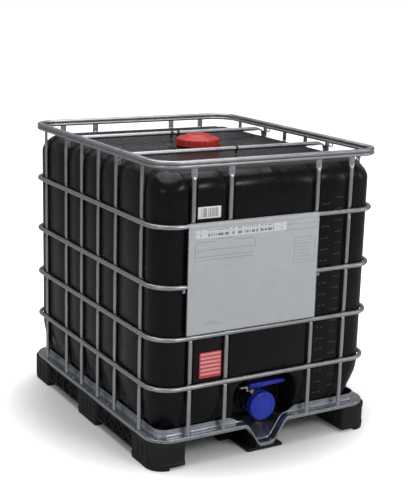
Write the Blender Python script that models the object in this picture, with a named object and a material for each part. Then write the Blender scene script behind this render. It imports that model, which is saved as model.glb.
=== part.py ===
"""Intermediate bulk container: a plastic tank in a steel tube cage on a pallet.

The tank stands in a pressed steel deck tray on plastic feet. Twenty upright
tubes, four hoops and a rolled top rim make the cage round it. A screw lid
closes the filling neck on top, and a butterfly valve with a lever and a screw
cap closes the outlet in a recess at the foot of the front wall.

Frame: metres, +Z up, ground at Z = 0, centre of the footprint at X = Y = 0.
The valve side faces -Y. X is the width and Y is the length.
"""
import math

import bmesh
import bpy
from mathutils import Vector

# ---------------------------------------------------------------- overall
FOOTPRINT_WIDTH = 1.000
FOOTPRINT_LENGTH = 1.200
OVERALL_HEIGHT = 1.160
GAP = 0.0003                    # between pieces that rest on each other

# ---------------------------------------------------------------- cage
CAGE_INSET = 0.002              # outer face of the hoops, inside the footprint
CAGE_CORNER_RADIUS = 0.098      # hoop centre line, in plan
HOOP_DIAMETER = 0.018
UPRIGHT_DIAMETER = 0.017
UPRIGHT_PAST_HOOP = 0.0025      # its centre line outside the hoop's inner face, where it is pressed flat
PRESS_HALF_WIDTH = 0.0095       # across the flattened part of an upright
PRESS_BLEND = 0.011             # height over which the flattening dies away
HOOP_HEIGHTS = (0.312, 0.504, 0.700, 0.922)
OUTER_UPRIGHT_FROM_SIDE = 0.153  # footprint edge to the upright nearest a corner
FRONT_INNER_UPRIGHT = 0.192     # X of the inner pair on the short sides
SIDE_INNER_UPRIGHT = 0.0785     # Y of the inner pair on the long sides
SIDE_MIDDLE_UPRIGHT = 0.2345    # Y of the middle pair, which carries the crossbars
RIM_HEIGHT = 0.028
RIM_THICKNESS = 0.024
RIM_GROOVE = 0.004              # depth of the groove rolled along the rim
CROSSBAR_DIAMETER = 0.018
CROSSBAR_DROP = 0.029           # centre line below the top of the rim
CROSSBAR_BEND_RUN = 0.042       # from the start of the flattening to the tab
CROSSBAR_BEND_FALL = 0.018      # from the bar's centre line to the top of the tab
CROSSBAR_TAB_LENGTH = 0.018
CROSSBAR_TAB_HALF_WIDTH = 0.012
CROSSBAR_TAB_THICKNESS = 0.0034
SCREW_HEAD_RADIUS = 0.0065
SCREW_HEAD_HEIGHT = 0.0040
SCREW_SHANK_RADIUS = 0.0030
SCREW_CLEARANCE = 0.0005

# ---------------------------------------------------------------- pallet
FOOT_HEIGHT = 0.106
CORNER_FOOT_WIDTH = 0.140
CORNER_FOOT_LENGTH = 0.190
MIDDLE_FOOT_LENGTH = 0.180
CENTRE_FOOT_WIDTH = 0.140
FOOT_TREAD_WIDTH = 0.075        # part of a foot that touches the ground
FOOT_STEP = 0.010               # rise beside the tread
FOOT_EDGE_RADIUS = 0.016
FOOT_CORNER_RADIUS = 0.070      # the outermost corner of a corner foot, in plan
RAIL_THICKNESS = 0.074
RAIL_GROUND_CLEARANCE = 0.030
RAIL_INSET = 0.006
SPOUT_BASE_HALF_WIDTH = 0.080
SPOUT_BASE_THICKNESS = 0.013
SPOUT_FOOT_FRONT = 0.009        # behind the tray's edge
SPOUT_BLOCK_LENGTH = 0.042      # behind the end of the chute
SPOUT_BLOCK_HALF_WIDTH = 0.128  # the block behind the chute, under the deck
SPOUT_BLOCK_TO_DECK = 0.0020

# ---------------------------------------------------------------- deck tray
TRAY_INSET = 0.003
TRAY_CORNER_RADIUS = 0.085
TRAY_EDGE_FOLD = 0.014          # height of the folded outer edge
TRAY_EDGE_TO_FOOT = 0.0005
TRAY_WALL_SLOPE = 0.0006        # run of each bend at the foot of the wall
TRAY_WALL_TO_TANK = 0.002
TRAY_SHEET = 0.0014
UPRIGHT_TO_TRAY_WALL = 0.0135
TRAY_WALL_HEIGHT = 0.0255
TRAY_WALL_THICKNESS = 0.0020
TRAY_FLOOR_DROP = 0.012         # floor below the lip
CHUTE_TOP_HALF_WIDTH = 0.100
CHUTE_FLOOR_HALF_WIDTH = 0.020
CHUTE_DEPTH = 0.088
CHUTE_EASE = 0.30               # share of each slope rounded at its top and at its foot
CHUTE_LENGTH = 0.150
CHUTE_WALL_RUNOUT = 0.060       # over which the tray wall dies away beside the chute

# ---------------------------------------------------------------- tank
TANK_WALL = 0.0025
PANEL_PROUD = 0.0045            # the panels stand out between the uprights
GROOVE_CLEARANCE = 0.0080       # groove floor to the upright
GROOVE_MOUTH = 0.036
GROOVE_FLOOR = 0.022
TANK_CORNER_RADIUS = 0.091
TANK_LEAST_CORNER = 0.015       # where the tank narrows at its foot and its shoulder
TANK_EDGE_RADIUS = 0.070
TANK_TOP_DROP = 0.051           # top of the tank below the top of the rim
TANK_TRAY_CLEARANCE = 0.0060    # tank's rounded foot to the tray wall
NECK_RADIUS = 0.078
NECK_WALL = 0.0045
NECK_HEIGHT = 0.026
NECK_THREAD_HEIGHT = 0.0025
NECK_THREAD_WIDTH = 0.004

# ---------------------------------------------------------------- lid
LID_SKIRT_CLEARANCE = 0.0018    # lid bore to the neck thread
LID_SKIRT_WALL = 0.0077
LID_WALL = 0.0045
LID_EDGE_RADIUS = 0.006         # between the skirt and the crown
LID_CROWN_FROM_EDGE = 0.034
LID_CROWN_RISE = 0.0125         # top of the crown above the seal face
LID_HUB_FROM_EDGE = 0.045
LID_HUB_RISE = 0.0206
LID_TO_TANK = 0.004
GASKET_THICKNESS = 0.0028

# ---------------------------------------------------------------- outlet valve
RECESS_BESIDE_LEVER = 0.011
RECESS_OVER_HUB = 0.0393
RECESS_CORNER_RADIUS = 0.070
RECESS_DEPTH = 0.1303
OUTLET_HEIGHT = 0.168
OUTLET_BORE_RADIUS = 0.0340
OUTLET_NECK_WALL = 0.0090
OUTLET_NECK_LENGTH = 0.024
VALVE_FLANGE_LENGTH = 0.005
VALVE_WAIST_WALL = 0.0060
VALVE_WAIST_LENGTH = 0.015
VALVE_HOUSING_WALL = 0.0125
VALVE_HOUSING_LENGTH = 0.030
VALVE_SPOUT_WALL = 0.0130
VALVE_SPOUT_LENGTH = 0.030
VALVE_THREAD_HEIGHT = 0.0025
NUT_WALL = 0.0067
NUT_LIP = 0.0045
DISC_CLEARANCE = 0.0005
DISC_THICKNESS = 0.006
STEM_RADIUS = 0.0050
STEM_CLEARANCE = 0.0004
BOSS_RADIUS = 0.0130
HUB_RADIUS = 0.0150
LEVER_LENGTH = 0.131
LEVER_TAIL = 0.040              # behind the stem
LEVER_HEIGHT = 0.024
LEVER_WIDTH = 0.028
LEVER_TIP_WIDTH = 0.022
LEVER_CAP_CLEARANCE = 0.003     # cap rim to the underside of the lever
HUB_ABOVE_LEVER = 0.002
BOSS_TO_LEVER = 0.004
CAP_SKIRT_WALL = 0.0062
CAP_LENGTH = 0.031
CAP_PLATE = 0.0045
CAP_SKIRT_CLEARANCE = 0.0018

# ---------------------------------------------------------------- label plate
PLATE_SHEET = 0.0012
PLATE_LEFT_OVERHANG = 0.027     # beyond the outer left upright's centre
PLATE_RIGHT_OVERHANG = 0.004    # beyond the inner right upright's centre
PLATE_TO_LOWER_HOOP = 0.003
PLATE_FLANGE_TO_UPRIGHT = 0.001  # edges turned back towards the uprights
PLATE_NOTCH = 0.014             # from the middle hoop, where the side flanges stop
CLIP_SIZE = 0.012

# ---------------------------------------------------------------- mesh fineness
TUBE_SIDES = 12
HOOP_SIDES = 8
CORNER_STEPS = 6
ROUND_SIDES = 24
SMALL_SIDES = 16

# ---------------------------------------------------------------- derived
HALF_WIDTH = FOOTPRINT_WIDTH / 2
HALF_LENGTH = FOOTPRINT_LENGTH / 2
TRAY_LIP = FOOT_HEIGHT + TRAY_EDGE_TO_FOOT + TRAY_EDGE_FOLD
TRAY_FLOOR = TRAY_LIP - TRAY_FLOOR_DROP
SPOUT_FOOT_REAR = CHUTE_LENGTH + SPOUT_BLOCK_LENGTH
SPOUT_BLOCK_TOP = FOOT_HEIGHT - SPOUT_BLOCK_TO_DECK
TANK_BOTTOM = TRAY_FLOOR + GAP
TANK_TOP = OVERALL_HEIGHT - TANK_TOP_DROP
RIM_BOTTOM = OVERALL_HEIGHT - RIM_HEIGHT
HOOP_HALF_X = HALF_WIDTH - CAGE_INSET - HOOP_DIAMETER / 2
HOOP_HALF_Y = HALF_LENGTH - CAGE_INSET - HOOP_DIAMETER / 2
UPRIGHT_HALF_X = HOOP_HALF_X - HOOP_DIAMETER / 2 + UPRIGHT_PAST_HOOP
UPRIGHT_HALF_Y = HOOP_HALF_Y - HOOP_DIAMETER / 2 + UPRIGHT_PAST_HOOP
TRAY_LIP_WIDTH = (HALF_WIDTH - TRAY_INSET) - (UPRIGHT_HALF_X - UPRIGHT_DIAMETER / 2 - UPRIGHT_TO_TRAY_WALL)
FRONT_OUTER_UPRIGHT = HALF_WIDTH - OUTER_UPRIGHT_FROM_SIDE
SIDE_OUTER_UPRIGHT = HALF_LENGTH - OUTER_UPRIGHT_FROM_SIDE
FRONT_UPRIGHTS = (-FRONT_OUTER_UPRIGHT, -FRONT_INNER_UPRIGHT, FRONT_INNER_UPRIGHT, FRONT_OUTER_UPRIGHT)
SIDE_UPRIGHTS = (-SIDE_OUTER_UPRIGHT, -SIDE_MIDDLE_UPRIGHT, -SIDE_INNER_UPRIGHT,
                 SIDE_INNER_UPRIGHT, SIDE_MIDDLE_UPRIGHT, SIDE_OUTER_UPRIGHT)
TANK_HALF_X = UPRIGHT_HALF_X - UPRIGHT_DIAMETER / 2 + PANEL_PROUD
TANK_HALF_Y = UPRIGHT_HALF_Y - UPRIGHT_DIAMETER / 2 + PANEL_PROUD
GROOVE_DEPTH = PANEL_PROUD + GROOVE_CLEARANCE
TRAY_WALL_INSET = TRAY_INSET + TRAY_LIP_WIDTH + TRAY_WALL_THICKNESS + TRAY_WALL_TO_TANK
RECESS_BACK = -TANK_HALF_Y + RECESS_DEPTH
NECK_TOP = TANK_TOP + NECK_HEIGHT
NECK_BORE_RADIUS = NECK_RADIUS - NECK_WALL
LID_RADIUS = NECK_RADIUS + NECK_THREAD_HEIGHT + LID_SKIRT_CLEARANCE + LID_SKIRT_WALL
LID_CROWN_RADIUS = LID_RADIUS - LID_CROWN_FROM_EDGE
LID_HUB_RADIUS = LID_RADIUS - LID_HUB_FROM_EDGE
OUTLET_NECK_RADIUS = OUTLET_BORE_RADIUS + OUTLET_NECK_WALL
VALVE_WAIST_RADIUS = OUTLET_BORE_RADIUS + VALVE_WAIST_WALL
VALVE_HOUSING_RADIUS = OUTLET_BORE_RADIUS + VALVE_HOUSING_WALL
VALVE_SPOUT_RADIUS = OUTLET_BORE_RADIUS + VALVE_SPOUT_WALL
NUT_RADIUS = OUTLET_NECK_RADIUS + GAP + NUT_WALL
CAP_RADIUS = VALVE_SPOUT_RADIUS + VALVE_THREAD_HEIGHT + CAP_SKIRT_CLEARANCE + CAP_SKIRT_WALL
LID_UNDERSIDE = NECK_TOP + GAP + GASKET_THICKNESS + GAP
OUTLET_NECK_END = RECESS_BACK - OUTLET_NECK_LENGTH
VALVE_BACK = OUTLET_NECK_END - GAP - GASKET_THICKNESS - GAP
FLANGE_FRONT = VALVE_BACK - VALVE_FLANGE_LENGTH
HOUSING_BACK = FLANGE_FRONT - VALVE_WAIST_LENGTH
HOUSING_FRONT = HOUSING_BACK - VALVE_HOUSING_LENGTH
STEM_Y = (HOUSING_BACK + HOUSING_FRONT) / 2
SPOUT_END = HOUSING_FRONT - VALVE_SPOUT_LENGTH
CAP_SEAT = SPOUT_END - GAP - GASKET_THICKNESS - GAP
LEVER_BOTTOM = OUTLET_HEIGHT + CAP_RADIUS + LEVER_CAP_CLEARANCE
HUB_TOP = LEVER_BOTTOM + LEVER_HEIGHT + HUB_ABOVE_LEVER
RECESS_HALF_WIDTH = LEVER_LENGTH + RECESS_BESIDE_LEVER
RECESS_TOP = HUB_TOP + RECESS_OVER_HUB
BOSS_TOP = LEVER_BOTTOM - BOSS_TO_LEVER
HUB_BOTTOM = BOSS_TOP + GAP
DISC_RADIUS = OUTLET_BORE_RADIUS - DISC_CLEARANCE


# ---------------------------------------------------------------- materials
def make_material(name, color, roughness, metallic):
    material = bpy.data.materials.new(name)
    material.use_nodes = True
    shader = material.node_tree.nodes["Principled BSDF"]
    shader.inputs["Base Color"].default_value = (*color, 1.0)
    shader.inputs["Roughness"].default_value = roughness
    shader.inputs["Metallic"].default_value = metallic
    material.diffuse_color = (*color, 1.0)
    return material


# ---------------------------------------------------------------- mesh helpers
def finish_mesh(bm, name, material, smooth_angle=math.radians(35)):
    """Point every face outwards and turn the bmesh into a shaded mesh."""
    bmesh.ops.recalc_face_normals(bm, faces=bm.faces)
    mesh = bpy.data.meshes.new(name)
    bm.to_mesh(mesh)
    bm.free()
    mesh.materials.append(material)
    mesh.shade_smooth()
    mesh.set_sharp_from_angle(angle=smooth_angle)
    return mesh


def place(name, mesh, location=(0, 0, 0), rotation=(0, 0, 0), parent=None):
    """Add one node; a child's location is measured from its parent empty."""
    obj = bpy.data.objects.new(name, mesh)
    obj.location = location
    obj.rotation_euler = rotation
    obj.parent = parent
    bpy.context.scene.collection.objects.link(obj)
    return obj


def axis_empty(name, location):
    empty = bpy.data.objects.new(name, None)
    empty.location = location
    bpy.context.scene.collection.objects.link(empty)
    return empty


def hide_cutter(obj):
    obj.hide_render = True
    obj.display_type = 'WIRE'


def add_boolean(obj, cutter, operation):
    modifier = obj.modifiers.new(operation.lower(), 'BOOLEAN')
    modifier.operation = operation
    modifier.object = cutter
    modifier.solver = 'EXACT'
    hide_cutter(cutter)


def loft(bm, rings, closed_path=False):
    """Skin equal rings of points; open paths are capped with a face at each end."""
    loops = [[bm.verts.new(point) for point in ring] for ring in rings]
    pairs = list(zip(loops, loops[1:]))
    if closed_path:
        pairs.append((loops[-1], loops[0]))
    for low, high in pairs:
        count = len(low)
        for i in range(count):
            j = (i + 1) % count
            bm.faces.new((low[i], low[j], high[j], high[i]))
    if not closed_path:
        bm.faces.new(loops[0])
        bm.faces.new(loops[-1])
    return loops


def revolve(name, profile, material, sides=ROUND_SIDES, axis='Z'):
    """Turn (radius, height) points round an axis.

    A profile that starts and ends at radius 0 makes a solid; any other is
    closed back to its first point and makes a ring. Heights run along +Z, or
    along -Y for axis 'Y'.
    """
    bm = bmesh.new()
    angles = [2 * math.pi * i / sides for i in range(sides)]
    loops = []
    for radius, height in profile:
        if radius == 0:
            points = [(0.0, 0.0)]
        else:
            points = [(radius * math.cos(a), radius * math.sin(a)) for a in angles]
        if axis == 'Z':
            loops.append([bm.verts.new((a, b, height)) for a, b in points])
        else:
            loops.append([bm.verts.new((a, -height, b)) for a, b in points])
    pairs = list(zip(loops, loops[1:]))
    if profile[0][0] != 0:
        pairs.append((loops[-1], loops[0]))
    for low, high in pairs:
        for i in range(sides):
            j = (i + 1) % sides
            corners = [low[i % len(low)], low[j % len(low)], high[j % len(high)], high[i % len(high)]]
            unique = list(dict.fromkeys(corners))
            bm.faces.new(unique)
    return finish_mesh(bm, name, material)


def box_mesh(name, low, high, material, bevel=0.0, vertical_only=False):
    """An axis-aligned block, with its edges (or only its upright ones) rounded."""
    bm = bmesh.new()
    bmesh.ops.create_cube(bm, size=1.0)
    for vert in bm.verts:
        for i in range(3):
            vert.co[i] = low[i] if vert.co[i] < 0 else high[i]
    if bevel:
        edges = [e for e in bm.edges
                 if not vertical_only or abs(e.verts[0].co.z - e.verts[1].co.z) > 1e-6]
        bmesh.ops.bevel(bm, geom=edges, offset=bevel, segments=3, profile=0.5, affect='EDGES')
    return finish_mesh(bm, name, material)


def extrude_outline(name, outline, depth_from, depth_to, material, plane='XZ'):
    """A prism: an outline in XZ carried along Y, or in YZ carried along X."""
    bm = bmesh.new()
    if plane == 'XZ':
        rings = [[(a, d, b) for a, b in outline] for d in (depth_from, depth_to)]
    else:
        rings = [[(d, a, b) for a, b in outline] for d in (depth_from, depth_to)]
    loft(bm, rings)
    return finish_mesh(bm, name, material)


def rounded_rectangle(half_x, half_y, radius, steps, front=(), back=(), side=()):
    """Plan points, anticlockwise from the front right corner.

    front, back and side are extra stations along the straight edges: X values
    on the front and back, Y values on both long sides.
    """
    centres = ((half_x - radius, -(half_y - radius), -90), (half_x - radius, half_y - radius, 0),
               (-(half_x - radius), half_y - radius, 90), (-(half_x - radius), -(half_y - radius), 180))
    edges = ([(half_x, y) for y in sorted(side)],
             [(x, half_y) for x in sorted(back, reverse=True)],
             [(-half_x, y) for y in sorted(side, reverse=True)],
             [(x, -half_y) for x in sorted(front)])
    points = []
    for (cx, cy, start), edge in zip(centres, edges):
        for i in range(steps + 1):
            angle = math.radians(start + 90 * i / steps)
            points.append((cx + radius * math.cos(angle), cy + radius * math.sin(angle)))
        points.extend(edge)
    return points


# ---------------------------------------------------------------- cage
def hoop_mesh(material):
    """A round tube bent into a closed rounded rectangle, in the plane Z = 0."""
    bm = bmesh.new()
    radius = HOOP_DIAMETER / 2
    rings = []
    for i in range(HOOP_SIDES):
        angle = 2 * math.pi * (i + 0.5) / HOOP_SIDES
        out = radius * math.cos(angle) / math.cos(math.pi / HOOP_SIDES)
        up = radius * math.sin(angle) / math.cos(math.pi / HOOP_SIDES)
        plan = rounded_rectangle(HOOP_HALF_X + out, HOOP_HALF_Y + out,
                                 CAGE_CORNER_RADIUS + out, CORNER_STEPS)
        rings.append([(x, y, up) for x, y in plan])
    loft(bm, rings, closed_path=True)
    return finish_mesh(bm, "hoop", material)


def rim_mesh(material):
    """The rolled rim: two rounded beads with a groove between them."""
    half = RIM_THICKNESS / 2
    groove = half - RIM_GROOVE
    bead = RIM_HEIGHT / 4
    profile = [(half - 0.004, 0.0), (half, 0.004), (half, 2 * bead - 0.004), (groove, 2 * bead),
               (half, 2 * bead + 0.004), (half, RIM_HEIGHT - 0.005), (half - 0.005, RIM_HEIGHT),
               (-half + 0.005, RIM_HEIGHT), (-half, RIM_HEIGHT - 0.005), (-half, 2 * bead + 0.004),
               (-groove, 2 * bead), (-half, 2 * bead - 0.004), (-half, 0.004), (-half + 0.004, 0.0)]
    centre_x = HALF_WIDTH - CAGE_INSET - half
    centre_y = HALF_LENGTH - CAGE_INSET - half
    corner = CAGE_CORNER_RADIUS + HOOP_DIAMETER / 2 - half
    bm = bmesh.new()
    rings = []
    for out, up in profile:
        plan = rounded_rectangle(centre_x + out, centre_y + out, corner + out, CORNER_STEPS)
        rings.append([(x, y, up) for x, y in plan])
    loft(bm, rings, closed_path=True)
    return finish_mesh(bm, "top_rim", material)


def upright_mesh(material):
    """A tube standing on the tray lip, outward along +X, pressed flat behind each hoop."""
    radius = UPRIGHT_DIAMETER / 2
    foot = TRAY_LIP + GAP
    height = RIM_BOTTOM - GAP - foot
    pressed_face = -UPRIGHT_PAST_HOOP - GAP
    levels = [(0.0, radius, radius)]
    for hoop in HOOP_HEIGHTS:
        near = HOOP_DIAMETER / 2 + GAP
        far = near + PRESS_BLEND
        levels += [(hoop - foot - far, radius, radius), (hoop - foot - near, pressed_face, PRESS_HALF_WIDTH),
                   (hoop - foot + near, pressed_face, PRESS_HALF_WIDTH), (hoop - foot + far, radius, radius)]
    levels.append((height, radius, radius))
    rings = []
    for z, face, half_width in levels:
        middle = (face - radius) / 2
        half_depth = (face + radius) / 2
        rings.append([(middle + half_depth * math.cos(a), half_width * math.sin(a), z)
                      for a in (2 * math.pi * k / TUBE_SIDES for k in range(TUBE_SIDES))])
    bm = bmesh.new()
    loft(bm, rings)
    return finish_mesh(bm, "upright", material)


def crossbar_mesh(material):
    """A tube whose ends are flattened and turned down against two uprights."""
    radius = CROSSBAR_DIAMETER / 2
    half_tab = CROSSBAR_TAB_THICKNESS / 2
    tab_x = UPRIGHT_HALF_X - UPRIGHT_DIAMETER / 2 - GAP - half_tab
    run, fall, wide = CROSSBAR_BEND_RUN, CROSSBAR_BEND_FALL, CROSSBAR_TAB_HALF_WIDTH
    stations = ((tab_x - run, 0.0, radius, radius), (tab_x - 0.48 * run, -0.11 * fall, 0.88 * wide, 0.56 * radius),
                (tab_x - 0.14 * run, -0.44 * fall, wide, 0.24 * radius), (tab_x, -fall, wide, half_tab),
                (tab_x, -fall - CROSSBAR_TAB_LENGTH, wide, half_tab))
    path = [(-x, z, w, t) for x, z, w, t in reversed(stations)] + list(stations)
    rings = []
    for i, (x, z, half_width, half_thickness) in enumerate(path):
        before = path[max(i - 1, 0)]
        after = path[min(i + 1, len(path) - 1)]
        heading = Vector((after[0] - before[0], 0, after[1] - before[1])).normalized()
        if abs(x) == tab_x:
            heading = Vector((0, 0, 1 if i < len(path) / 2 else -1))
        normal = Vector((-heading.z, 0, heading.x))
        ring = []
        for k in range(TUBE_SIDES):
            angle = 2 * math.pi * k / TUBE_SIDES
            across = half_width * math.cos(angle)
            off = half_thickness * max(-0.9, min(0.9, 1.2 * math.sin(angle))) / 0.9
            ring.append(Vector((x, across, z)) + normal * off)
        rings.append(ring)
    bm = bmesh.new()
    loft(bm, rings)
    return finish_mesh(bm, "crossbar", material)


def screw_mesh(material):
    """A pan-head screw along +X from its head, the shank ending at the upright."""
    shank_end = CROSSBAR_TAB_THICKNESS + GAP
    profile = [(0, -SCREW_HEAD_HEIGHT), (SCREW_HEAD_RADIUS * 0.7, -SCREW_HEAD_HEIGHT),
               (SCREW_HEAD_RADIUS, -SCREW_HEAD_HEIGHT * 0.4), (SCREW_HEAD_RADIUS, 0),
               (SCREW_SHANK_RADIUS, 0), (SCREW_SHANK_RADIUS, shank_end), (0, shank_end)]
    return revolve("screw", profile, material, sides=SMALL_SIDES)


def build_cage(steel):
    hoop = hoop_mesh(steel)
    for number, height in enumerate(HOOP_HEIGHTS, start=1):
        place(f"hoop_{number}", hoop, (0, 0, height))
    place("top_rim", rim_mesh(steel), (0, 0, RIM_BOTTOM))
    upright = upright_mesh(steel)
    foot = TRAY_LIP + GAP
    for side, sign in (("front", -1), ("rear", 1)):
        for number, x in enumerate(FRONT_UPRIGHTS, start=1):
            place(f"upright_{side}_{number}", upright, (x, sign * UPRIGHT_HALF_Y, foot), (0, 0, sign * math.pi / 2))
    for side, sign, turn in (("left", -1, math.pi), ("right", 1, 0)):
        for number, y in enumerate(SIDE_UPRIGHTS, start=1):
            place(f"upright_{side}_{number}", upright, (sign * UPRIGHT_HALF_X, y, foot), (0, 0, turn))


def build_crossbars(steel):
    """Two bars over the tank, each held by a screw through its tab at both ends."""
    bar_z = OVERALL_HEIGHT - CROSSBAR_DROP
    screw_z = -CROSSBAR_BEND_FALL - CROSSBAR_TAB_LENGTH / 2
    tab_face = UPRIGHT_HALF_X - UPRIGHT_DIAMETER / 2 - GAP - CROSSBAR_TAB_THICKNESS
    bar = crossbar_mesh(steel)
    screw = screw_mesh(steel)
    hole_profile = [(0, -tab_face - 0.02), (SCREW_SHANK_RADIUS + SCREW_CLEARANCE, -tab_face - 0.02),
                    (SCREW_SHANK_RADIUS + SCREW_CLEARANCE, tab_face + 0.02), (0, tab_face + 0.02)]
    for name, y in (("front", -SIDE_MIDDLE_UPRIGHT), ("rear", SIDE_MIDDLE_UPRIGHT)):
        crossbar = place(f"crossbar_{name}", bar, (0, y, bar_z))
        hole = revolve(f"tab_holes_{name}", hole_profile, steel, sides=SMALL_SIDES)
        cutter = place(f"tab_holes_{name}", hole, (0, y, bar_z + screw_z), (0, math.pi / 2, 0))
        add_boolean(crossbar, cutter, 'DIFFERENCE')
        for side, sign in (("left", -1), ("right", 1)):
            place(f"screw_{name}_{side}", screw, (sign * (tab_face - GAP), y, bar_z + screw_z),
                  (0, sign * math.pi / 2, 0))


# ---------------------------------------------------------------- deck tray
def chute_drop(x, y):
    """How far the tray surface falls at a plan point to form the outflow chute."""
    ramp = (CHUTE_TOP_HALF_WIDTH - abs(x)) / (CHUTE_TOP_HALF_WIDTH - CHUTE_FLOOR_HALF_WIDTH)
    ramp = min(max(ramp, 0.0), 1.0)
    ease = CHUTE_EASE
    if ramp < ease:
        ramp = ramp * ramp / (2 * ease)
    elif ramp > 1 - ease:
        ramp = 1 - ease - (1 - ramp) ** 2 / (2 * ease)
    else:
        ramp = ramp - ease / 2
    ramp /= 1 - ease
    edge = HALF_LENGTH - TRAY_INSET - TRAY_LIP_WIDTH
    along = (-y - (edge - CHUTE_LENGTH + TRAY_LIP_WIDTH)) / (CHUTE_LENGTH - TRAY_LIP_WIDTH)
    return CHUTE_DEPTH * ramp * min(max(along, 0.0), 1.0)


def floor_drop(x, y):
    """The chute's fall measured from the floor, so that it runs on from the lip."""
    return chute_drop(x, y) * (CHUTE_DEPTH - TRAY_FLOOR_DROP) / CHUTE_DEPTH


def chute_stations():
    """X values across the front edge that follow the chute and the wall run-out."""
    top = CHUTE_TOP_HALF_WIDTH
    floor = CHUTE_FLOOR_HALF_WIDTH
    slope = top - floor
    eased = [CHUTE_EASE * slope * i / 3 for i in (1, 2, 3)]
    half = [top + CHUTE_WALL_RUNOUT, top + CHUTE_WALL_RUNOUT / 2, top]
    half += [top - run for run in eased] + [floor + run for run in reversed(eased)] + [floor]
    return [-x for x in half] + half[::-1]


def tray_ring(inset, height, wall_share=0.0, drop=chute_drop):
    """One closed line of tray points at an inset from the tray's outer edge."""
    radius = max(TRAY_CORNER_RADIUS - inset, 0.010)
    plan = rounded_rectangle(HALF_WIDTH - TRAY_INSET - inset, HALF_LENGTH - TRAY_INSET - inset,
                             radius, CORNER_STEPS, front=chute_stations())
    ring = []
    for x, y in plan:
        rise = 0.0
        if wall_share:
            rise = TRAY_WALL_HEIGHT
            if y < 0:
                beside = (abs(x) - CHUTE_TOP_HALF_WIDTH) / CHUTE_WALL_RUNOUT
                rise *= min(max(beside, 0.015), 1.0)
        ring.append((x, y, height + rise * wall_share - drop(x, y)))
    return ring


def tray_insets():
    """Insets of the rows of the tray floor, from the wall to the chute's end."""
    start = TRAY_LIP_WIDTH + TRAY_WALL_THICKNESS + 0.0008
    end = CHUTE_LENGTH + 0.001
    return [start + (end - start) * i / 3 for i in range(4)]


def tray_mesh(material):
    """The pressed deck: folded edge, lip, upstand wall, floor and front chute."""
    sheet = TRAY_SHEET
    floors = tray_insets()
    top = [tray_ring(0.0, TRAY_LIP - TRAY_EDGE_FOLD), tray_ring(0.0, TRAY_LIP),
           tray_ring(TRAY_LIP_WIDTH, TRAY_LIP),
           tray_ring(TRAY_LIP_WIDTH + TRAY_WALL_SLOPE, TRAY_LIP, wall_share=1.0),
           tray_ring(TRAY_LIP_WIDTH + TRAY_WALL_THICKNESS, TRAY_LIP, wall_share=1.0)]
    top += [tray_ring(inset, TRAY_FLOOR, drop=floor_drop) for inset in floors]
    bottom = [tray_ring(sheet, TRAY_LIP - TRAY_EDGE_FOLD), tray_ring(sheet, TRAY_LIP - sheet),
              tray_ring(TRAY_LIP_WIDTH + TRAY_WALL_SLOPE, TRAY_LIP - sheet),
              tray_ring(TRAY_LIP_WIDTH + 2 * TRAY_WALL_SLOPE, TRAY_FLOOR - sheet, drop=floor_drop)]
    bottom += [tray_ring(inset, TRAY_FLOOR - sheet, drop=floor_drop) for inset in floors]
    bm = bmesh.new()
    loft(bm, bottom[::-1] + top)
    return finish_mesh(bm, "deck_tray", material, smooth_angle=math.radians(40))


# ---------------------------------------------------------------- pallet feet
def foot_mesh(name, width, length, material, tread_at_edge, corner_end=0):
    """A block foot with a tread and a raised step beside it, top at FOOT_HEIGHT.

    corner_end is the sign of the Y end whose outer corner has the large radius.
    """
    half = width / 2
    if tread_at_edge:
        outline = [(half, 0), (half, FOOT_HEIGHT), (-half, FOOT_HEIGHT), (-half, FOOT_STEP),
                   (half - FOOT_TREAD_WIDTH, FOOT_STEP), (half - FOOT_TREAD_WIDTH, 0)]
    else:
        tread = FOOT_TREAD_WIDTH / 2
        outline = [(tread, 0), (tread, FOOT_STEP), (half, FOOT_STEP), (half, FOOT_HEIGHT),
                   (-half, FOOT_HEIGHT), (-half, FOOT_STEP), (-tread, FOOT_STEP), (-tread, 0)]
    bm = bmesh.new()
    loft(bm, [[(x, y, z) for x, z in outline] for y in (-length / 2, length / 2)])
    if tread_at_edge:
        outer = [e for e in bm.edges
                 if abs(e.verts[0].co.x - half) < 1e-6 and abs(e.verts[1].co.x - half) < 1e-6
                 and abs(e.verts[0].co.z - e.verts[1].co.z) > FOOT_HEIGHT / 2]
        wide = [e for e in outer if e.verts[0].co.y * corner_end > 0]
        plain = [e for e in outer if e not in wide]
        bmesh.ops.bevel(bm, geom=plain, offset=FOOT_EDGE_RADIUS, segments=3, profile=0.5, affect='EDGES')
        if wide:
            bmesh.ops.bevel(bm, geom=wide, offset=FOOT_CORNER_RADIUS, segments=6, profile=0.5, affect='EDGES')
    return finish_mesh(bm, name, material)


def spout_keel_mesh(material):
    """The narrow part of the front centre foot, which follows the chute's underside."""
    edge = HALF_LENGTH - TRAY_INSET
    rows = [SPOUT_FOOT_FRONT, TRAY_LIP_WIDTH + TRAY_WALL_SLOPE, TRAY_LIP_WIDTH + 2 * TRAY_WALL_SLOPE]
    rows += tray_insets()
    reach = CHUTE_FLOOR_HALF_WIDTH + CHUTE_EASE * (CHUTE_TOP_HALF_WIDTH - CHUTE_FLOOR_HALF_WIDTH)
    stations = [x for x in chute_stations() if abs(x) < reach + 1e-6]
    rings = []
    for index, inset in enumerate(rows):
        y = -(edge - inset)
        base, drop = (TRAY_LIP, chute_drop) if index < 2 else (TRAY_FLOOR, floor_drop)
        top = []
        for x in stations:
            under = base - TRAY_SHEET - GAP - drop(x, y)
            top.append((x, y, min(under, SPOUT_BLOCK_TOP)))
        rings.append([(stations[0], y, 0), (stations[-1], y, 0)] + top[::-1])
    bm = bmesh.new()
    loft(bm, rings)
    return finish_mesh(bm, "foot_front_centre", material)


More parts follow.
